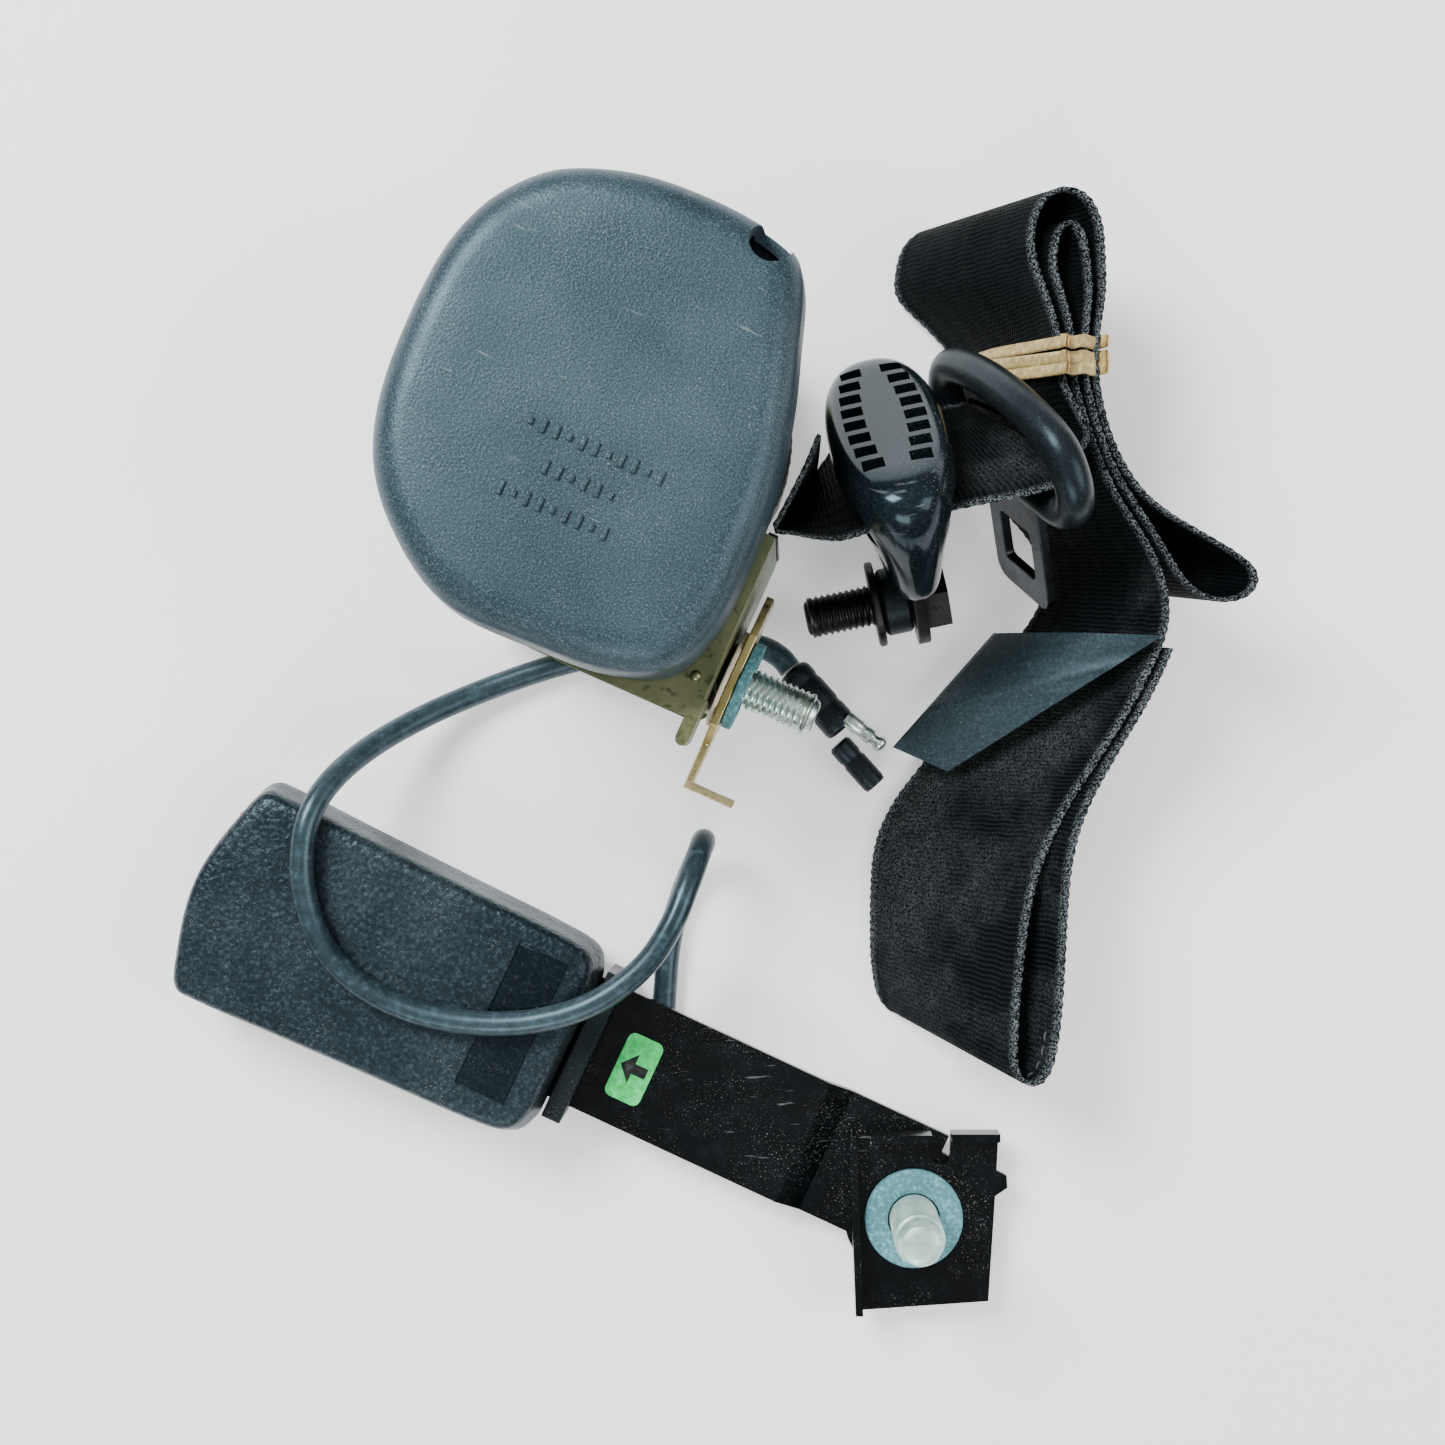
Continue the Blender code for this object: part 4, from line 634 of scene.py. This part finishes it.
def evened(rows, pitch):
    """The same strip with rows at an even spacing along its middle."""
    middles = [(a + b) / 2 for a, b in rows]
    runs = [0.0]
    for p, q in zip(middles, middles[1:]):
        runs.append(runs[-1] + (q - p).length)
    count = max(2, round(runs[-1] / pitch))
    out, k = [], 0
    for i in range(count + 1):
        s = runs[-1] * i / count
        while k < len(runs) - 2 and runs[k + 1] < s:
            k += 1
        t = (s - runs[k]) / max(runs[k + 1] - runs[k], 1e-9)
        out.append((rows[k][0].lerp(rows[k + 1][0], t), rows[k][1].lerp(rows[k + 1][1], t)))
    return out, runs[-1]


# share of the width from an edge, half thickness, its swell at every other pick, and the shift outwards
SELVEDGE = [(0.001, 0.22, 0.0, 0.34), (0.02, 0.5, 0.06, 0.2), (0.04, 0.6, 0.07, 0.0), (0.058, 0.46, 0.0, 0.0)]


def strip(name, rows, mat, body, nodes, columns=14, pitch=1.15):
    """Webbing with bound, serrated selvedges. Returns the piece, its length and its even rows."""
    rows, length = evened(rows, pitch)
    middles = [(a + b) / 2 for a, b in rows]
    bm = bmesh.new()
    uv = bm.loops.layers.uv.new("cloth")
    shares = [0.0, 0.012, 0.035, 0.055]
    shares = shares + [0.055 + 0.89 * i / columns for i in range(1, columns)] + [1 - s for s in shares[::-1]]
    grid, place = [], {}
    for i, (low, high) in enumerate(rows):
        along = (middles[min(i + 1, len(rows) - 1)] - middles[max(i - 1, 0)]).normalized()
        wide = (high - low).normalized()
        out = wide.cross(along).normalized()
        beat = 1.0 if i % 2 else -1.0
        top, bottom = [], []
        for share in shares:
            edge = min(share, 1 - share)
            middle = (WEB_THICK / 2, 0.0, 0.0)
            half, swell, shift = next((row[1:] for row in SELVEDGE if edge < row[0]), middle)
            half += swell * beat
            side = 1 if share > 0.5 else -1
            centre = low.lerp(high, share) + wide * (shift * max(beat, -0.2) * side)
            for group, sign in ((top, 1), (bottom, -1)):
                vert = bm.verts.new(centre + out * (half * sign))
                place[vert] = (i * length / (len(rows) - 1) / 10, share * WEB_WIDTH / 10)
                group.append(vert)
        grid.append(top + bottom[::-1])
    count = len(grid[0])
    quads = [(a[i], a[(i + 1) % count], b[(i + 1) % count], b[i])
             for a, b in zip(grid, grid[1:]) for i in range(count)]
    quads += [(ring[i], ring[i + 1], ring[-2 - i], ring[-1 - i])
              for ring in (grid[0], grid[-1]) for i in range(count // 2 - 1)]
    for quad in quads:
        for loop in bm.faces.new(quad).loops:
            loop[uv].uv = place[loop.vert]
    obj = piece(name, bm, WORLD, mat, body, nodes, angle=60)
    return obj, length, rows


lead_rows, fold_rows, loop_rows = strand_rows(), edge_rows(FOLDS), edge_rows(END_LOOP)
gap = [(lead_rows[-1][0].lerp(fold_rows[0][0], t), lead_rows[-1][1].lerp(fold_rows[0][1], t))
       for t in (0.25, 0.5)]
# the lead's lighter, hazed weave is a painted highlight
belt_lead, lead_length = strip("belt_lead", lead_rows + gap, WEAVE_DUST_AND_HIGHLIGHT, "belt_set", ["webbing_lead"])[:2]
belt_folds, fold_length = strip("belt_folds", fold_rows, WEAVE, "belt_set", ["webbing_folds"])[:2]
belt_end, end_length, ended = strip("belt_end_loop", loop_rows, WEAVE_DUST_AND_HIGHLIGHT, "belt_set", ["webbing_end_loop"])


def on_strip(rows, along_share, across, lift):
    """A point over a strip's outer face and its outward normal there."""
    at = along_share * (len(rows) - 1)
    i = min(int(at), len(rows) - 2)
    low = rows[i][0].lerp(rows[i + 1][0], at - i)
    high = rows[i][1].lerp(rows[i + 1][1], at - i)
    along = ((rows[i + 1][0] + rows[i + 1][1]) - (rows[i][0] + rows[i][1])).normalized()
    out = (high - low).normalized().cross(along).normalized()
    return low.lerp(high, across / WEB_WIDTH) + out * lift, out


def stitches(name, rows, paths, lift, thread=0.3):
    """Threads lying on a strip: each path is a list of (share along, millimetres across)."""
    bm = bmesh.new()
    for path in paths:
        for (s0, a0), (s1, a1) in zip(path, path[1:]):
            p, out = on_strip(rows, s0, a0, lift)
            q = on_strip(rows, s1, a1, lift)[0]
            along = q - p
            if along.length < 0.2:
                continue
            start, end = p + along * 0.06, q - along * 0.06
            side = along.normalized().cross(out).normalized()
            rings = []
            for share, sink in ((0.0, -0.28), (0.22, 0.06), (0.5, 0.12), (0.78, 0.06), (1.0, -0.28)):
                c = start.lerp(end, share) + out * sink
                rings.append([bm.verts.new(c + (side * math.cos(a) + out * math.sin(a)) * thread)
                              for a in (2 * math.pi * k / 6 for k in range(6))])
            skin(bm, rings)
    return piece(name, bm, WORLD, THREAD, "belt_set", slot="webbing", angle=80)


def zigzags(start, end, low, high, count, step):
    """Zigzag rows of stitches over the sewn overlap."""
    paths = []
    for k in range(count):
        across = low + (high - low) * k / (count - 1)
        path, i, s = [], 0, start
        while s < end:
            path.append((s, across + (1.5 if i % 2 else -1.5)))
            s, i = s + step, i + 1
        paths.append(path)
    return paths


def runs(start, end, acrosses, step):
    out = []
    for across in acrosses:
        s = start
        while s + step < end:
            out.append([(s, across), (s + step * 0.72, across)])
            s += step
    return out


per_mm = 1 / end_length
stitches("sewn_overlap", ended, zigzags(56 * per_mm, 98 * per_mm, 6.0, 41.0, 6, 2.1 * per_mm)
         + runs(50 * per_mm, 104 * per_mm, (3.6, 43.4), 3.0 * per_mm), 0.62)
stitches("edge_seam", ended, runs(100 * per_mm, 190 * per_mm, (3.4, 43.6), 3.0 * per_mm), 0.62, thread=0.22)

# the roll on the spool: wound layers, with the outer turn as a strip
ROLL_INNER, ROLL_OUTER, LAYER = 11.4, 34.2, 1.15
ROLL_LOW, ROLL_HIGH = 18.4, 64.6
layers = []
r = ROLL_INNER
while r < ROLL_OUTER - 0.6:
    layers += [(r, 18.3), (r + 0.55, 18.0), (r + 1.1, 18.3)]
    r += LAYER
roll_profile = layers + [(ROLL_OUTER, ROLL_LOW), (ROLL_OUTER, ROLL_HIGH)]
roll_profile += [(x, ROLL_LOW + ROLL_HIGH - z) for x, z in layers[::-1]]
roll_frame = about(REEL, (*SPOOL, 0))
piece("belt_roll", turned(roll_profile, 72), roll_frame, BLACK, "spool", ["webbing_roll"], angle=50)
wound = []
for k in range(0, 361, 5):
    a = math.radians(k)
    p = roll_frame @ (Vector((math.cos(a), math.sin(a), 0)) * (ROLL_OUTER + 0.6) * MM) / MM
    wound.append((Vector((p.x, p.y, ROLL_HIGH + 0.1)), Vector((p.x, p.y, ROLL_LOW - 0.2))))
outer_turn = strip("belt_outer_turn", wound, WEAVE, "spool", [], pitch=1.3)[0]


# ------------ rubber band and label
BAND_WIDE = 2.9


def band_loop(y, tilt, across, thick):
    """One turn of the band round the leaning folds, in the plane y."""
    slope = Vector((BAND_LEAN[0], BAND_LEAN[2])).normalized()
    low = Vector((66.5, LAY_Z))
    high = low + slope * WEB_WIDTH
    flat = Vector((slope.y, -slope.x))
    ring = []
    for centre, sign in ((high, 1), (low, -1)):
        for i in range(9):
            angle = math.pi * i / 8
            ring.append(centre + flat * (sign * across * math.cos(angle))
                        + slope * (sign * 1.15 * math.sin(angle) ** 0.6))
    path = [Vector((p.x, max(p.y, 0.9))) for p in smooth(ring, 3, closed=True)]
    bm = bmesh.new()
    rings = []
    for i, p in enumerate(path):
        along = (path[(i + 1) % len(path)] - path[i - 1]).normalized()
        out = Vector((along.y, 0, -along.x))
        spot = Vector((p.x, y + tilt * (p.y - 22) / 22 + 0.25 * math.sin(i * 0.7), p.y))
        twist = 0.5 * math.sin(i * 0.19 + y)
        wide_axis = (Vector((0, 1, 0)) + out * twist * 0.3).normalized()
        ring = []
        for k in range(10):
            a = 2 * math.pi * k / 10
            c, s = math.cos(a), math.sin(a)
            ring.append(bm.verts.new(spot + wide_axis * (BAND_WIDE / 2 * blunt(c, 0.6))
                                     + out * (thick / 2 * blunt(s, 0.6))))
        rings.append(ring)
    return skin(bm, rings, capped=False, joined=True)


band = band_loop(95.0, -3.0, 5.2, 0.85)
for y, tilt, across in ((97.9, -3.3, 5.25), (100.7, -2.7, 5.3)):
    more = band_loop(y, tilt, across, 0.8)
    mesh = bpy.data.meshes.new("turn")
    more.to_mesh(mesh)
    more.free()
    band.from_mesh(mesh)
piece("band_turns", band, WORLD, BAND, "belt_set", ["rubber_band"], angle=60)


def label():
    tip, top_corner = Vector((104.0, 31.6, 43.0)), Vector((69.0, 34.5, 10.0))
    foot, left = Vector((57.5, 0.6, 14.0)), Vector((44.4, 6.6, 9.0))
    bm = bmesh.new()
    nx, ny = 30, 22
    rows = []
    for j in range(ny + 1):
        t = j / ny
        row = []
        for i in range(nx + 1):
            s = i / nx
            upper, lower = top_corner.lerp(tip, s), left.lerp(foot, s)
            p = lower.lerp(upper, t) + Vector((0, 0, 5.0 * math.sin(math.pi * s) * t))
            # a fold line from the lower left towards the tip, and a slight ripple
            crease = abs((t - 0.34) - 0.42 * s)
            p.z += 1.0 * max(0.0, 1 - crease / 0.12) - 0.5 * math.sin(6.0 * s + 1.4) * (1 - t) * 0.7
            row.append(p)
        rows.append(row)
    thick = 0.25
    sheets = [[[bm.verts.new(p + Vector((0, 0, lift))) for p in row] for row in rows]
              for lift in (thick, -thick)]
    for grid in sheets:
        for j in range(ny):
            for i in range(nx):
                bm.faces.new((grid[j][i], grid[j][i + 1], grid[j + 1][i + 1], grid[j + 1][i]))
    top, bottom = sheets
    rim = ([(0, i) for i in range(nx)] + [(j, nx) for j in range(ny)]
           + [(ny, i) for i in range(nx, 0, -1)] + [(j, 0) for j in range(ny, 0, -1)])
    for (a, b), (c, d) in zip(rim, rim[1:] + rim[:1]):
        bm.faces.new((top[a][b], top[c][d], bottom[c][d], bottom[a][b]))
    obj = piece("vinyl_label", bm, WORLD, VINYL, "belt_set", ["label_flap"], angle=60)


label()

# ------------ reel
COVER_OUTLINE = [
    (-27.0, 29.5), (-35.0, 18.5), (-39.0, 3.0), (-38.8, -22.0), (-34.0, -39.0), (-23.5, -51.5),
    (-8.2, -60.4), (12.7, -60.8), (29.0, -59.4), (41.0, -53.8), (46.3, -41.0), (46.8, -24.3),
    (45.6, -8.4), (42.2, 7.0), (38.2, 19.5), (33.6, 32.0), (28.0, 37.4), (15.0, 39.9),
    (-3.0, 39.4), (-17.5, 35.4),
]


def cup(outline, levels, wall):
    """A closed cup: rings at (inset, height) outside, then the same rings a wall's thickness inside."""
    rim, sign = levels[0][1], 1 if levels[-1][1] > levels[0][1] else -1
    inner = [(levels[0][0] + wall, rim)]
    inner += [(d + wall, h - sign * wall) for d, h in levels[1:] if sign * (h - rim) > wall + 0.3]
    bm = bmesh.new()
    # rings shrink towards the middle, so a deep one never crosses itself at a tight corner
    low = Vector((min(p.x for p in outline), min(p.y for p in outline)))
    high = Vector((max(p.x for p in outline), max(p.y for p in outline)))
    middle, reach = (low + high) / 2, (high - low) / 2
    rings = [[bm.verts.new((middle.x + (p.x - middle.x) * (1 - distance / reach.x),
                            middle.y + (p.y - middle.y) * (1 - distance / reach.y), height)) for p in outline]
             for distance, height in levels[::-1] + inner]
    return skin(bm, rings)


def rounded_edge(rim, start, top, radius, wall_lean, steps=7):
    """Levels from a rim up a slightly leaning wall and over a rounded edge."""
    levels = [(0.0, rim), (0.0, rim + (start - rim) * 0.2), (wall_lean, start)]
    for i in range(1, steps + 1):
        a = math.pi / 2 * i / steps
        levels.append((wall_lean + radius * (1 - math.cos(a)), start + (top - start) * math.sin(a)))
    return levels


cover_outline = smooth([Vector(p) for p in COVER_OUTLINE], 6, closed=True)
cover_bm = cup(cover_outline, rounded_edge(68.0, 80.4, 88.0, 7.6, 0.6, 9) + [(14.0, 88.0)], 2.2)
cover = piece("cover", cover_bm, REEL, COVER, "belt_set", ["mechanism_cover"], angle=40)
cut(cover, cylinder(4.6, 75, 95, 48, at=(24.2, 35.4)), REEL)

# the ledge at the bottom of the clip's notch
LEDGE = [(14.5, 28.0), (34.0, 27.5), (32.6, 31.0), (30.0, 34.2), (27.0, 36.2), (22.0, 37.4), (14.5, 38.3)]
piece("notch_ledge", prism(LEDGE, 71.8, 73.4), REEL, BLACK, "belt_set", slot="black_plastic", angle=30)

# generic moulded tick rows on the cover, in place of any marking
marks = bmesh.new()
for row, (cx, cy, count) in enumerate(((9.0, -18.5, 11), (8.4, -26.0, 6), (6.0, -33.5, 9))):
    for i in range(count):
        x = cx + (i - (count - 1) / 2) * 2.9
        tall = 1.5 if (i + row) % 3 else 0.8
        box((x - 0.5, cy - tall, 87.9), (x + 0.5, cy + tall, 88.6), marks)
bevelled(piece("cover_ticks", marks, REEL, COVER, "belt_set", slot="cover_plastic", angle=180), 0.14, 2)

softened("retractor_frame", 0.25, CHROMATE)
softened("anti_turn_plate", 0.3, GOLD)
softened("spring_cover", 0.5, BLACK)
clip = bmesh.new()
cylinder(2.4, 68.6, 78.0, 24, clip, (23.2, 30.4))
cylinder(1.5, 78.0, 79.0, 24, clip, (23.2, 30.4))
bevelled(piece("clip", clip, REEL, ZINC, "belt_set", ["cover_clip"], angle=40), 0.3)
# two small round dimples on the frame's plate, beside the cover
bead = bmesh.new()
for x, y in ((45.2, -52.0), (44.6, -26.0)):
    bmesh.ops.create_uvsphere(bead, u_segments=16, v_segments=10, radius=1.5,
                              matrix=Matrix.Translation((x, y, 67.0)))
piece("plate_dimples", bead, REEL, CHROMATE, "belt_set", slot="yellow_chromate")

HEAD_RADIUS, PITCH, THREAD_DEPTH = 9.4, 1.5, 0.62
bolt_frame = about(REEL, BOLT, (0, 90, 0))
stud = threaded(bmesh.new(), 5.0, 46.8, 70.6, PITCH, THREAD_DEPTH,
                [(4.2, 71.0), (4.0, 71.6), (3.6, 72.2), (2.9, 72.5)])
cylinder(HEAD_RADIUS, 40.5, 46.5, 6, stud)
piece("reel_stud", stud, bolt_frame, ZINC, "retractor_bolt", ["mount_bolt"], angle=30)
washer("wave_washer", bolt_frame, 5.4, 8.6, 49.1, 49.8, DARK, "belt_set")
washer("spacer_washer", bolt_frame, 5.4, 11.6, 50.0, 51.1, CREAM, "belt_set")
washer("fibre_washer", bolt_frame, 5.4, 10.5, 53.3, 55.6, FIBRE, "belt_set")

# ------------ guide loop
# the moulding's sections: place along the loop, half width and half thickness
LOOP_SECTIONS = [
    (-13.5, 21.0, 6.0), (-13.45, 25.5, 9.0), (-13.0, 29.5, 11.0), (-12.0, 32.4, 12.4), (-10.4, 34.4, 13.3),
    (-8.0, 35.4, 13.7), (-5.0, 35.6, 13.6), (-1.5, 35.2, 12.9), (3.0, 33.8, 11.5), (8.0, 31.6, 9.9),
    (13.0, 29.0, 8.6), (18.0, 26.0, 7.6), (22.0, 23.0, 6.8), (24.6, 19.6, 5.9), (26.0, 15.6, 4.4),
    (26.4, 11.0, 2.0),
]
body_bm = bmesh.new()
rings = []
for centre in smooth(LOOP_SECTIONS, 3):
    rings.append([body_bm.verts.new((centre.y * blunt(math.cos(a), 0.84), centre.x,
                                     centre.z * blunt(math.sin(a), 0.84)))
                  for a in (2 * math.pi * k / 64 for k in range(64))])
skin(body_bm, rings)
loop_body = piece("guide_loop_body", body_bm, LOOP, GLOSS, "loop", ["guide_loop_moulding"], angle=40)
cut(loop_body, box((-26.6, -3.8, -16), (26.6, 4.3, 16)), LOOP)
pockets = bmesh.new()
for i in range(8):
    x = -23.6 + 6.3 * i
    side = 7.0 * (1 - 0.5 * (x / 30) ** 2)
    for sign in (-1, 1):
        box((x - 2.15, -15.0, sign * side - 2.5), (x + 2.15, -9.8, sign * side + 2.5), pockets)
cut(loop_body, pockets, LOOP)
softened("guide_loop_plate", 0.2, DARK)
guide_hole = about(LOOP, (0, 36.0, 0))
guide_bolt = threaded(bmesh.new(), 5.0, -1.8, 26.0, PITCH, THREAD_DEPTH,
                      [(4.2, 26.3), (4.0, 26.8), (3.2, 27.2)])
cylinder(HEAD_RADIUS, -7.3, -1.8, 6, guide_bolt)
piece("loop_bolt", guide_bolt, about(guide_hole, turn=(180, 0, 0)), DARK, "loop_bolt",
      ["guide_bolt"], angle=30)
washer("guide_bush", guide_hole, 5.4, 8.2, -8.6, -1.8, BLACK, "belt_set", 0.8)
washer("guide_washer", guide_hole, 5.4, 10.4, -10.8, -8.9, DARK, "belt_set", 0.4)

# ------------ tongue
# the blade's dark steel is painted shade
softened("tongue_blade", 0.3, SHADED_BLADE)
grip_path = [(0.0, 7.2), (14.0, 7.2), (23.0, 6.8), (28.4, 2.6), (28.6, -4.0), (24.0, -10.4), (13.0, -13.6)]
grip_path += [(0.0, -14.6)] + [(-x, y) for x, y in grip_path[:0:-1]]
ring = smooth([(x, y, 0.0) for x, y in grip_path], 8, closed=True)
GRIP_HALF_WIDE, GRIP_HALF_TALL, MOULD_LINE = 4.25, 4.3, 0.12
grip_bm = bmesh.new()
rings = []
for i, p in enumerate(ring):
    along = (ring[(i + 1) % len(ring)] - ring[i - 1]).normalized()
    out = Vector((along.y, -along.x, 0))
    loop = []
    for k in range(20):
        a = 2 * math.pi * k / 20
        # a nearly round section with a fine mould line on its outside
        wide = GRIP_HALF_WIDE + (MOULD_LINE if k == 0 else 0.0)
        rise = Vector((0, 0, GRIP_HALF_TALL * math.sin(a)))
        loop.append(grip_bm.verts.new(p + out * (wide * math.cos(a)) + rise))
    rings.append(loop)
skin(grip_bm, rings, capped=False, joined=True)
grip = piece("grip", grip_bm, TONGUE, SATIN, "tongue", ["tongue_grip"], angle=40)
cut(grip, box((-12.3, 0.0, -1.55), (12.3, 14.0, 1.55)), TONGUE)

# ------------ buckle
half = [(53.5, 12.0), (52.8, 19.0), (49.0, 23.6), (38.0, 24.8), (20.0, 25.2), (-10.0, 26.0),
        (-30.0, 26.6), (-36.2, 25.4), (-39.4, 17.0), (-41.6, 8.0)]
points = [Vector(p) for p in half] + [Vector((-42.4, 0.0))]
points += [Vector((x, -y)) for x, y in reversed(half)]
shell_outline = smooth(points, 5, closed=True)
top_levels = [(-1.4, 14.2), (-1.4, 15.2), (-0.9, 17.8), (-0.3, 21.0), (-0.1, 23.0), (0.15, 24.4), (0.5, 25.5),
              (1.0, 26.3), (1.7, 26.85), (2.6, 27.15), (4.2, 27.2)]
low_levels = [(-1.4, 13.9), (-1.4, 12.9), (-0.9, 10.4), (-0.3, 7.0), (-0.1, 5.0), (0.15, 3.4), (0.5, 2.2),
              (1.0, 1.3), (1.7, 0.75), (2.6, 0.45), (4.2, 0.4)]
upper = piece("buckle_top", cup(shell_outline, top_levels, 2.2), BUCKLE, SHELL, "buckle",
              ["buckle_upper_shell"], angle=40)
cut(upper, box((-45, -20.0, 10), (-30, 20.0, 24.0)), BUCKLE)
cut(upper, box((34.0, -17.5, 26.6), (47.0, 19.0, 30)), BUCKLE)
lower = piece("buckle_base", cup(shell_outline, low_levels, 2.2), BUCKLE, SHELL, "buckle",
              ["buckle_lower_shell"], angle=40)
cut(lower, box((-45, -20.0, 8.4), (-30, 20.0, 18)), BUCKLE)
cut(lower, box((46, -15.0, 2.9), (60, 18.0, 18)), BUCKLE)
# the smooth recessed panel and its generic pips
bevelled(piece("recessed_panel", box((34.25, -17.25, 25.9), (46.75, 18.75, 26.72)), BUCKLE, GLOSS,
               "buckle", slot="glossy_plastic"), 0.15)
pips = bmesh.new()
for i in range(9):
    y = -13.0 + 3.4 * i
    box((36.6, y - 0.8, 26.6), (37.4, y + 0.8, 26.98), pips)
    if i % 2:
        box((40.0, y - 0.5, 26.6), (42.2, y + 0.5, 26.98), pips)
for i in range(5):
    cylinder(0.6, 26.6, 26.98, 16, pips, (44.6, -10 + 5.5 * i))
bevelled(piece("panel_pips", pips, BUCKLE, BLACK, "buckle", slot="black_plastic", angle=180), 0.12)
softened("neck_collar", 0.7, BLACK, 3)
softened("release_button", 0.3, RED)


def spring(node, at, turn, length, radius, turns, wire):
    """A coil with closed ends."""
    place = about(BUCKLE, at, turn)
    path = []
    for k in range(turns * 16 + 1):
        share = k / (turns * 16)
        z = wire + (length - 2 * wire) * min(1.0, max(0.0, (share - 0.1) / 0.8))
        a = 2 * math.pi * k / 16
        path.append(place @ (Vector((radius * math.cos(a), radius * math.sin(a), z)) * MM) / MM)
    curve = tube(node + "_wire", path, wire, STEEL, "buckle", steps=1, sides=2)
    bpy.context.view_layer.update()
    coil = linked(node + "_coil", bpy.data.meshes.new_from_object(
        curve.evaluated_get(bpy.context.evaluated_depsgraph_get())))
    bpy.data.objects.remove(curve)
    claimed(coil, "buckle", [node], "bare_steel")
    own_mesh(coil)


spring("button_spring", (-23.5, 0, 21.6), (0, 90, 0), 14.2, 2.0, 7, 0.35)
spring("ejector_spring", (-1.6, 0, 10.5), (0, 90, 0), 19.0, 1.8, 8, 0.35)
spring("latch_spring", (-2.0, 0, 17.2), (0, 0, 0), 6.6, 2.0, 4, 0.35)
# a raised arrow on the button, pointing the way it is pressed
arrow = [(-30.0, -5.0), (-34.0, 0.0), (-30.0, 5.0), (-31.6, 0.0)]
piece("button_arrow", prism(arrow, 23.5, 23.9), BUCKLE, RED, "button", slot="red_plastic")

# ------------ stalk and anchor
softened("stalk_strap", 0.35, PAINT)
softened("anchor_bracket", 0.3, PAINT)
softened("side_sticker", 0.06, STICKER, 1)
# a generic arrow in place of the letter
mark = [(67.6, 0.4), (70.9, 4.2), (70.9, 1.7), (74.4, 1.7), (74.4, -0.9), (70.9, -0.9), (70.9, -3.4)]
piece("sticker_arrow", prism(mark, 11.02, 11.12), BUCKLE, INK, "buckle", slot="sticker", angle=180)

anchor_at = about(WORLD, (*ANCHOR, 3.6))
bolt = threaded(bmesh.new(), 6.0, -1.5, 28.4, 1.75, 0.55,
                [(5.35, 28.7), (5.3, 31.6), (5.1, 32.9), (4.5, 33.8), (3.4, 34.3), (1.8, 34.4)])
cylinder(10.6, -3.2, 0.0, 6, bolt)
piece("anchor_stud", bolt, anchor_at, COATED, "anchor_stud", ["anchor_bolt"], angle=30)
washer("anchor_washer", about(WORLD, (*ANCHOR, 0)), 6.4, 12.0, 9.0, 11.2, FIBRE, "belt_set", 0.35)

# ------------ pieces that keep their CAD shape
carried(ZINC, "tie_bar_left", "tie_bar_rear", "spool_shaft", "ratchet_wheel", "pawl_pin", "lock_pawl",
        "sensor_ball", "latch_pin", "strap_rivet_front", "strap_rivet_rear")
carried(STEEL, "return_spring", "buckle_frame", "latch_plate")
carried(GREY, "spool_core", "spring_arbor", "sensor_housing", "sensor_lever", "spring_bridge", "ejector")
carried(BLACK, "webbing_guide", "contact_switch")

# ------------ floor and light
plane = bmesh.new()
bmesh.ops.create_grid(plane, x_segments=2, y_segments=2, size=1.6)
floor_mesh = bpy.data.meshes.new("floor")
plane.to_mesh(floor_mesh)
plane.free()
floor = linked("floor", floor_mesh)
floor.location = (0, 0, -0.0002)
paper, tree, shader, where = start_material("pale_floor", Roughness=0.9, Specular_IOR_Level=0.2)
tree.links.new(blend_colours(tree, ramp(tree, noise(tree, where, 6, 2), 0.3, 0.7), (0.86, 0.86, 0.86),
                             (0.9, 0.9, 0.9)), shader.inputs["Base Color"])
shader.inputs["Emission Color"].default_value = (1.0, 1.0, 1.0, 1.0)
shader.inputs["Emission Strength"].default_value = 0.5
floor_mesh.materials.append(paper)

world = bpy.data.worlds.new("studio")
SCENE.world = world
world.use_nodes = True
sky = world.node_tree
# darker towards the horizon, so that rounded edges fall away
direction = shader_node(sky, "ShaderNodeTexCoord").outputs["Generated"]
rise = shader_node(sky, "ShaderNodeSeparateXYZ", {"Vector": direction})
glow = blend_colours(sky, ramp(sky, rise.outputs["Z"], 0.1, 0.75), (0.12, 0.125, 0.13), (0.93, 0.96, 1.0))
sky.links.new(glow, sky.nodes["Background"].inputs["Color"])
sky.nodes["Background"].inputs["Strength"].default_value = 0.55


def area_light(name, place, size, power, colour=(1, 1, 1)):
    data = bpy.data.lights.new(name, "AREA")
    data.shape, data.size, data.size_y = "RECTANGLE", size[0], size[1]
    data.energy, data.color = power, colour
    obj = linked(name, data)
    obj.location = place
    obj.rotation_mode = "QUATERNION"
    obj.rotation_quaternion = (-Vector(place)).to_track_quat("-Z", "Y")


area_light("key", (-0.5, 0.55, 0.85), (0.45, 0.45), 21, (0.95, 0.98, 1.0))
area_light("fill", (0.8, -0.1, 0.7), (0.6, 0.6), 6)
area_light("rim", (-0.1, -0.8, 0.6), (0.6, 0.3), 5)
